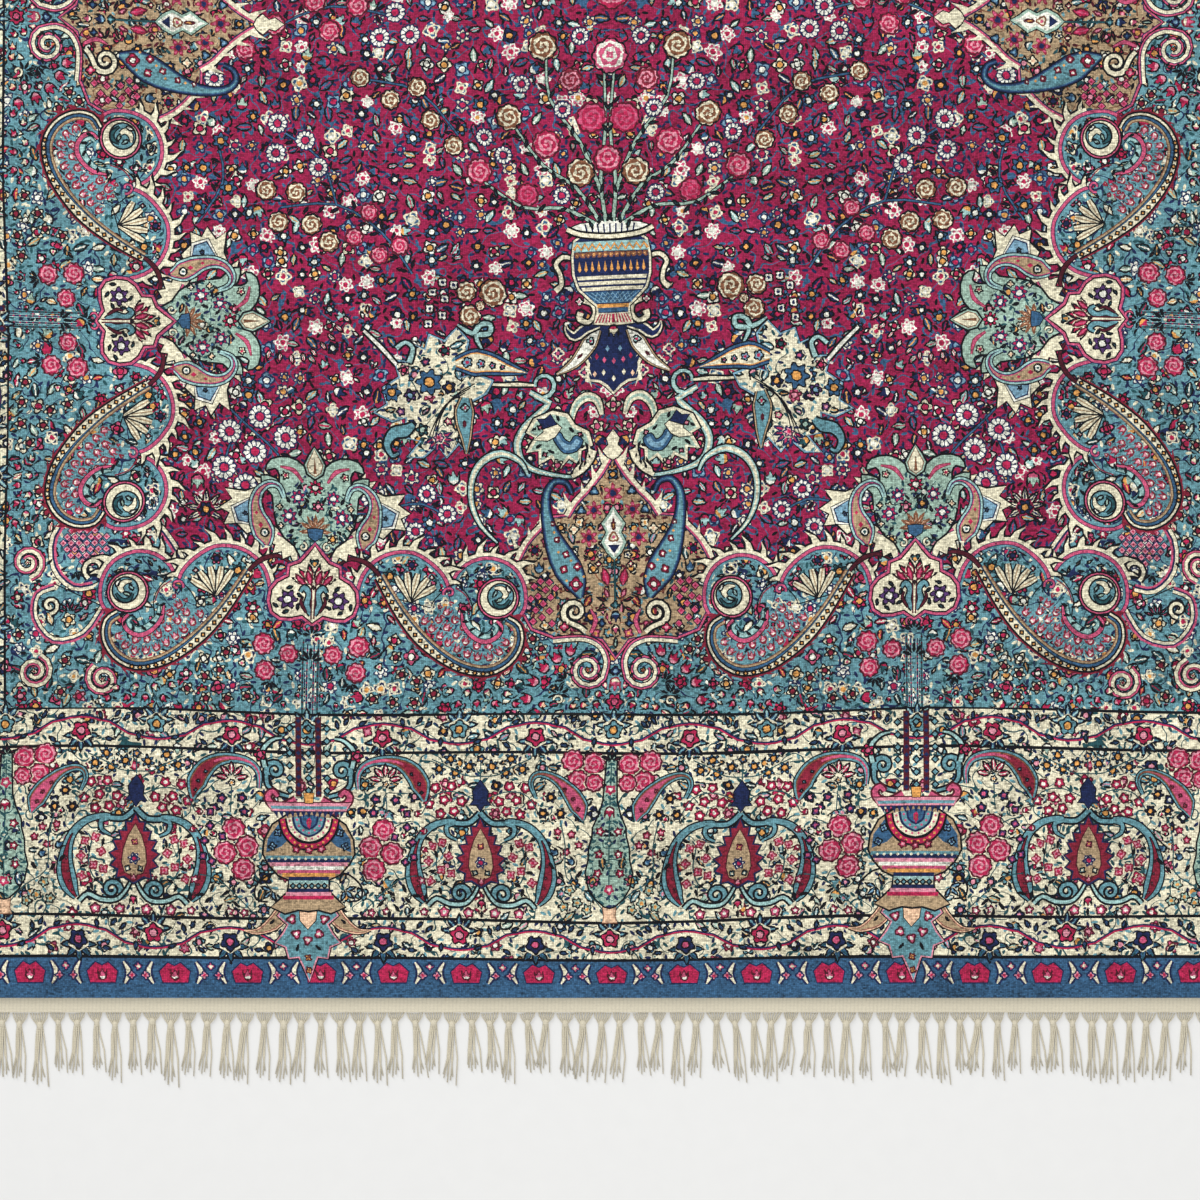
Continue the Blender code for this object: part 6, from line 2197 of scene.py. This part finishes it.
def repeated(name, part, points, **given):
    """A plain mesh of one part repeated at the points."""
    mesh = bpy.data.meshes.new(name)
    mesh.from_pydata(points, [], [])
    piece = link(name, mesh)
    modifier = piece.modifiers.new("repeat", "NODES")
    modifier.node_group = REPEAT
    keys = {item.name: item.identifier for item in REPEAT.interface.items_tree if item.in_out == "INPUT"}
    modifier[keys["Part"]] = part
    for key, value in given.items():
        modifier[keys[key.replace("_", " ").title()]] = value
    done = bpy.data.meshes.new_from_object(piece.evaluated_get(bpy.context.evaluated_depsgraph_get()))
    piece.modifiers.clear()
    piece.data = done
    piece.data.name = name
    piece.data.shade_smooth()
    return piece


REPEAT = repeat_tree()
print("the repeating tree has", len(REPEAT.nodes), "nodes")
# %% [markdown]
# ## The overcast side cords
# One turn of wool is a soft pillow, a little narrower at its ends, where it meets the next turn. Some
# seven hundred of them in a row make each cord, so one turn has only a few dozen faces.
# %% The overcast side cords
WRAP_PITCH = 0.0030


def wool_wrap():
    """One turn of wool: a soft pillow round the cord, leaning a little."""
    half_x, half_z, corner = CORD_WIDTH / 2, CORD_HEIGHT / 2, 0.0022
    ring = []
    for sx, sz, first in ((1, 1, 0), (-1, 1, 90), (-1, -1, 180), (1, -1, 270)):
        for a in (first, first + 45, first + 90):
            ring.append((sx * (half_x - corner) + corner * math.cos(math.radians(a)),
                         sz * (half_z - corner) + corner * math.sin(math.radians(a))))
    points, faces = [], []
    for y, full in ((-0.5, 0.86), (-0.25, 0.975), (0.2, 1.0), (0.5, 0.86)):
        lean = 0.0006
        points += [(u * full, y * WRAP_PITCH + lean * u / half_x, v * full + half_z) for u, v in ring]
    count = len(ring)
    for row in range(3):
        for i in range(count):
            a, b = row * count + i, row * count + (i + 1) % count
            faces.append((a, a + count, b + count, b))
    faces += [tuple(range(count)), tuple(reversed(range(3 * count, 4 * count)))]
    mesh = bpy.data.meshes.new("wool_wrap")
    mesh.from_pydata(points, [], faces)
    return link("wool_wrap", mesh)


def blue_wool():
    """Blue wool, wound round and round, in two shades of its dye."""
    recipe = Recipe("overcast_wool")
    place = recipe.node("ShaderNodeTexCoord", out=3)
    x, y, z = recipe.parts(place)
    strand = recipe.noise(recipe.vector(x * 500.0, y * 3000.0, z * 500.0), 1.0, 3.0, 0.6)
    lots = recipe.noise(recipe.vector(0.0, y * 14.0, 0.0), 1.0, 2.0, 0.5)
    tone = 0.62 + strand * 0.5 + (lots - 0.5) * 0.5
    sockets = {0: lots, 6: (0.030, 0.055, 0.125, 1.0), 7: (0.045, 0.105, 0.180, 1.0)}
    dye = recipe.node("ShaderNodeMix", {"data_type": "RGBA"}, sockets, 2)
    bump = recipe.node("ShaderNodeBump", None, {"Strength": 0.5, "Distance": 0.0003, "Height": strand})
    return recipe.finish(recipe.scaled(dye, tone), 0.8 + strand * 0.15, bump, 0.15)


BLUE_WOOL = blue_wool()
wrap = wool_wrap()
CORDS = []
for name, side in (("side_cord_west", -1), ("side_cord_east", 1)):
    x = side * (PILE_WIDTH / 2 + PIECE_GAP + CORD_WIDTH / 2)
    turns = int(PILE_LENGTH / WRAP_PITCH)
    points = [(x, (i - (turns - 1) / 2) * WRAP_PITCH, 0.0) for i in range(turns)]
    given = {"material": BLUE_WOOL, "lean": 0.03, "uneven": 0.03, "uneven_width": 0.02}
    CORDS.append(repeated("overcast_" + name, wrap, points, **given))
bpy.data.objects.remove(wrap)
print("each cord has", turns, "turns of wool and", len(CORDS[0].data.polygons), "faces")
# %% [markdown]
# ## The knotted fringes
# A tassel is seven warps that leave the strip side by side, run together into a knot and then spread
# again. Each warp is a thin closed tube, and no two have the same length. The tree above turns and
# stretches every copy.
# %% The knotted fringes
TASSELS = 94
STRANDS = 7


def tube(points, faces, line, radii, sides=5):
    """Add a closed tube along a line that runs mostly along Y."""
    first = len(points)
    for (x, y, z), r in zip(line, radii):
        points += [(x + r * math.cos(math.tau * i / sides), y,
                    z + r * math.sin(math.tau * i / sides)) for i in range(sides)]
    for row in range(len(line) - 1):
        for i in range(sides):
            a, b = first + row * sides + i, first + row * sides + (i + 1) % sides
            faces.append((a, a + sides, b + sides, b))
    last = first + (len(line) - 1) * sides
    faces.append(tuple(range(first, first + sides)))
    faces.append(tuple(reversed(range(last, last + sides))))


def tassel():
    """A bunch of warp ends: parallel out of the web, gathered in a knot, then free."""
    rng = random.Random(21)
    points, faces = [], []
    for i in range(STRANDS):
        share = i / (STRANDS - 1) - 0.5
        length = TASSEL_LENGTH * rng.uniform(0.86, 1.04)
        out = share * 0.011 + rng.uniform(-0.0012, 0.0012)
        bend = rng.uniform(-0.0016, 0.0016)
        low, high = 0.0007, 0.0007 + 0.0007 * (i % 2)
        line = [(share * 0.0125, 0.0, 0.0011), (share * 0.0105, -0.004, 0.0010),
                (share * 0.0034, -0.009, high),
                (share * 0.0050 + bend * 0.3, -0.017, high), (out * 0.7 + bend, -0.034, low),
                (out, -length, low)]
        tube(points, faces, line, (0.0005, 0.00055, 0.00055, 0.00062, 0.0006, 0.00045))
    knot = [(0.0, -0.0062, 0.0010), (0.0, -0.0074, 0.0012), (0.0, -0.0092, 0.0013), (0.0, -0.0112, 0.0012),
            (0.0, -0.0124, 0.0010)]
    first = len(points)
    tube(points, faces, knot, (0.0011, 0.0019, 0.0022, 0.0019, 0.0010), 8)
    points[first:] = [(x, y, max(0.0001, (z - 0.0012) * 0.62 + 0.0013)) for x, y, z in points[first:]]
    mesh = bpy.data.meshes.new("tassel")
    mesh.from_pydata(points, [], faces)
    return link("tassel", mesh)


WARP_COTTON = cotton("warp_cotton", COTTON, 1500.0, 500.0, 0.8)
bunch = tassel()
FRINGES = []
for name, end in (("fringe_near", -1), ("fringe_far", 1)):
    y = end * (PILE_LENGTH / 2 + WEB_LENGTH + PIECE_GAP)
    pitch = PILE_WIDTH / TASSELS
    points = [((i - (TASSELS - 1) / 2) * pitch, y, 0.0) for i in range(TASSELS)]
    given = {"material": WARP_COTTON, "turn": math.pi * (end > 0), "lean": 0.09, "uneven": 0.11,
             "uneven_width": 0.14, "stray": 0.004}
    FRINGES.append(repeated("knotted_" + name, bunch, points, **given))
bpy.data.objects.remove(bunch)
print("each fringe has", TASSELS, "tassels and", len(FRINGES[0].data.polygons), "faces")

# %% [markdown]
# ## Floor, lamps and camera
# The rug lies on a plain pale floor. A large soft lamp low at the far side lets the folds and the pile
# show, and a wide one overhead fills the shadows. The camera looks straight down at the near end.
# %% Stage
FLOOR_GREY = (0.74, 0.74, 0.73)
VIEW_WIDTH = 0.96
VIEW_CENTRE = (-0.0096, -0.7024)
CAMERA_HEIGHT = 2.6
SENSOR_WIDTH = 36.0


def make_stage():
    """A pale painted floor."""
    recipe = Recipe("floor_paint")
    place = recipe.node("ShaderNodeTexCoord", out=3)
    grain = recipe.noise(place, 60.0, 3.0)
    colour = recipe.scaled(FLOOR_GREY, 0.98 + grain * 0.04)
    bump = recipe.node("ShaderNodeBump", None, {"Strength": 0.05, "Distance": 0.0002, "Height": grain})
    paint = recipe.finish(colour, 0.75 + grain * 0.1, bump)
    mesh = bpy.data.meshes.new("studio_floor")
    mesh.from_pydata([(-6, -6, 0), (6, -6, 0), (6, 6, 0), (-6, 6, 0)], [], [(0, 1, 2, 3)])
    mesh.materials.append(paint)
    floor = link("studio_floor", mesh)
    return floor


def lamp(name, size, place, aim, power):
    """A square soft lamp at a place, turned to what it lights."""
    data = bpy.data.lights.new(name, "AREA")
    data.shape = "SQUARE"
    data.size = size
    data.energy = power
    made = bpy.data.objects.new(name, data)
    made.location = place
    made.rotation_euler = (Vector(aim) - Vector(place)).to_track_quat("-Z", "Y").to_euler()
    bpy.context.scene.collection.objects.link(made)


def make_lights_and_camera():
    """White surroundings, two soft lamps, and a camera above the near end."""
    world = bpy.data.worlds.new("studio")
    bpy.context.scene.world = world
    world.use_nodes = True
    world.node_tree.nodes["Background"].inputs[0].default_value = (1.0, 1.0, 1.0, 1.0)
    world.node_tree.nodes["Background"].inputs[1].default_value = 0.62
    lamp("far_window", 1.6, (-1.6, 1.7, 1.3), (0.0, -0.3, 0.0), 62)
    lamp("overhead", 2.4, (0.6, -0.9, 2.9), (0.0, -0.4, 0.0), 40)
    data = bpy.data.cameras.new("camera")
    camera = bpy.data.objects.new("camera", data)
    data.sensor_width = SENSOR_WIDTH
    data.lens = SENSOR_WIDTH * CAMERA_HEIGHT / VIEW_WIDTH
    data.clip_end = 60.0
    camera.location = (*VIEW_CENTRE, CAMERA_HEIGHT)
    bpy.context.scene.collection.objects.link(camera)
    bpy.context.scene.camera = camera
    bpy.context.scene.view_settings.view_transform = "Standard"


floor = make_stage()
make_lights_and_camera()
print("stage set")
# %% [markdown]
# ## Handing the pieces over
# Last, every piece is attached to the body it moves with, and the plain part that it stands for is
# hidden. The foundation is the sheet, and all the other pieces are worked onto it and go with it.
# %% Attach each piece and hide the plain part it stands for
parts = [(piece, "rug_body", "wool_pile") for piece in PILE]
parts.append((FOUNDATION, "rug_body", "cotton_warp"))
parts += [(cord, node, "overcast_wool") for cord, node in zip(CORDS, ("side_cord_west", "side_cord_east"))]
parts += [(fringe, node, "cotton_warp") for fringe, node in zip(FRINGES, ("fringe_near", "fringe_far"))]
for piece, node, slot in parts:
    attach(piece, "root")
    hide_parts(node)
print(len(parts), "pieces stand for", len({node for _, node, _ in parts}), "plain parts")
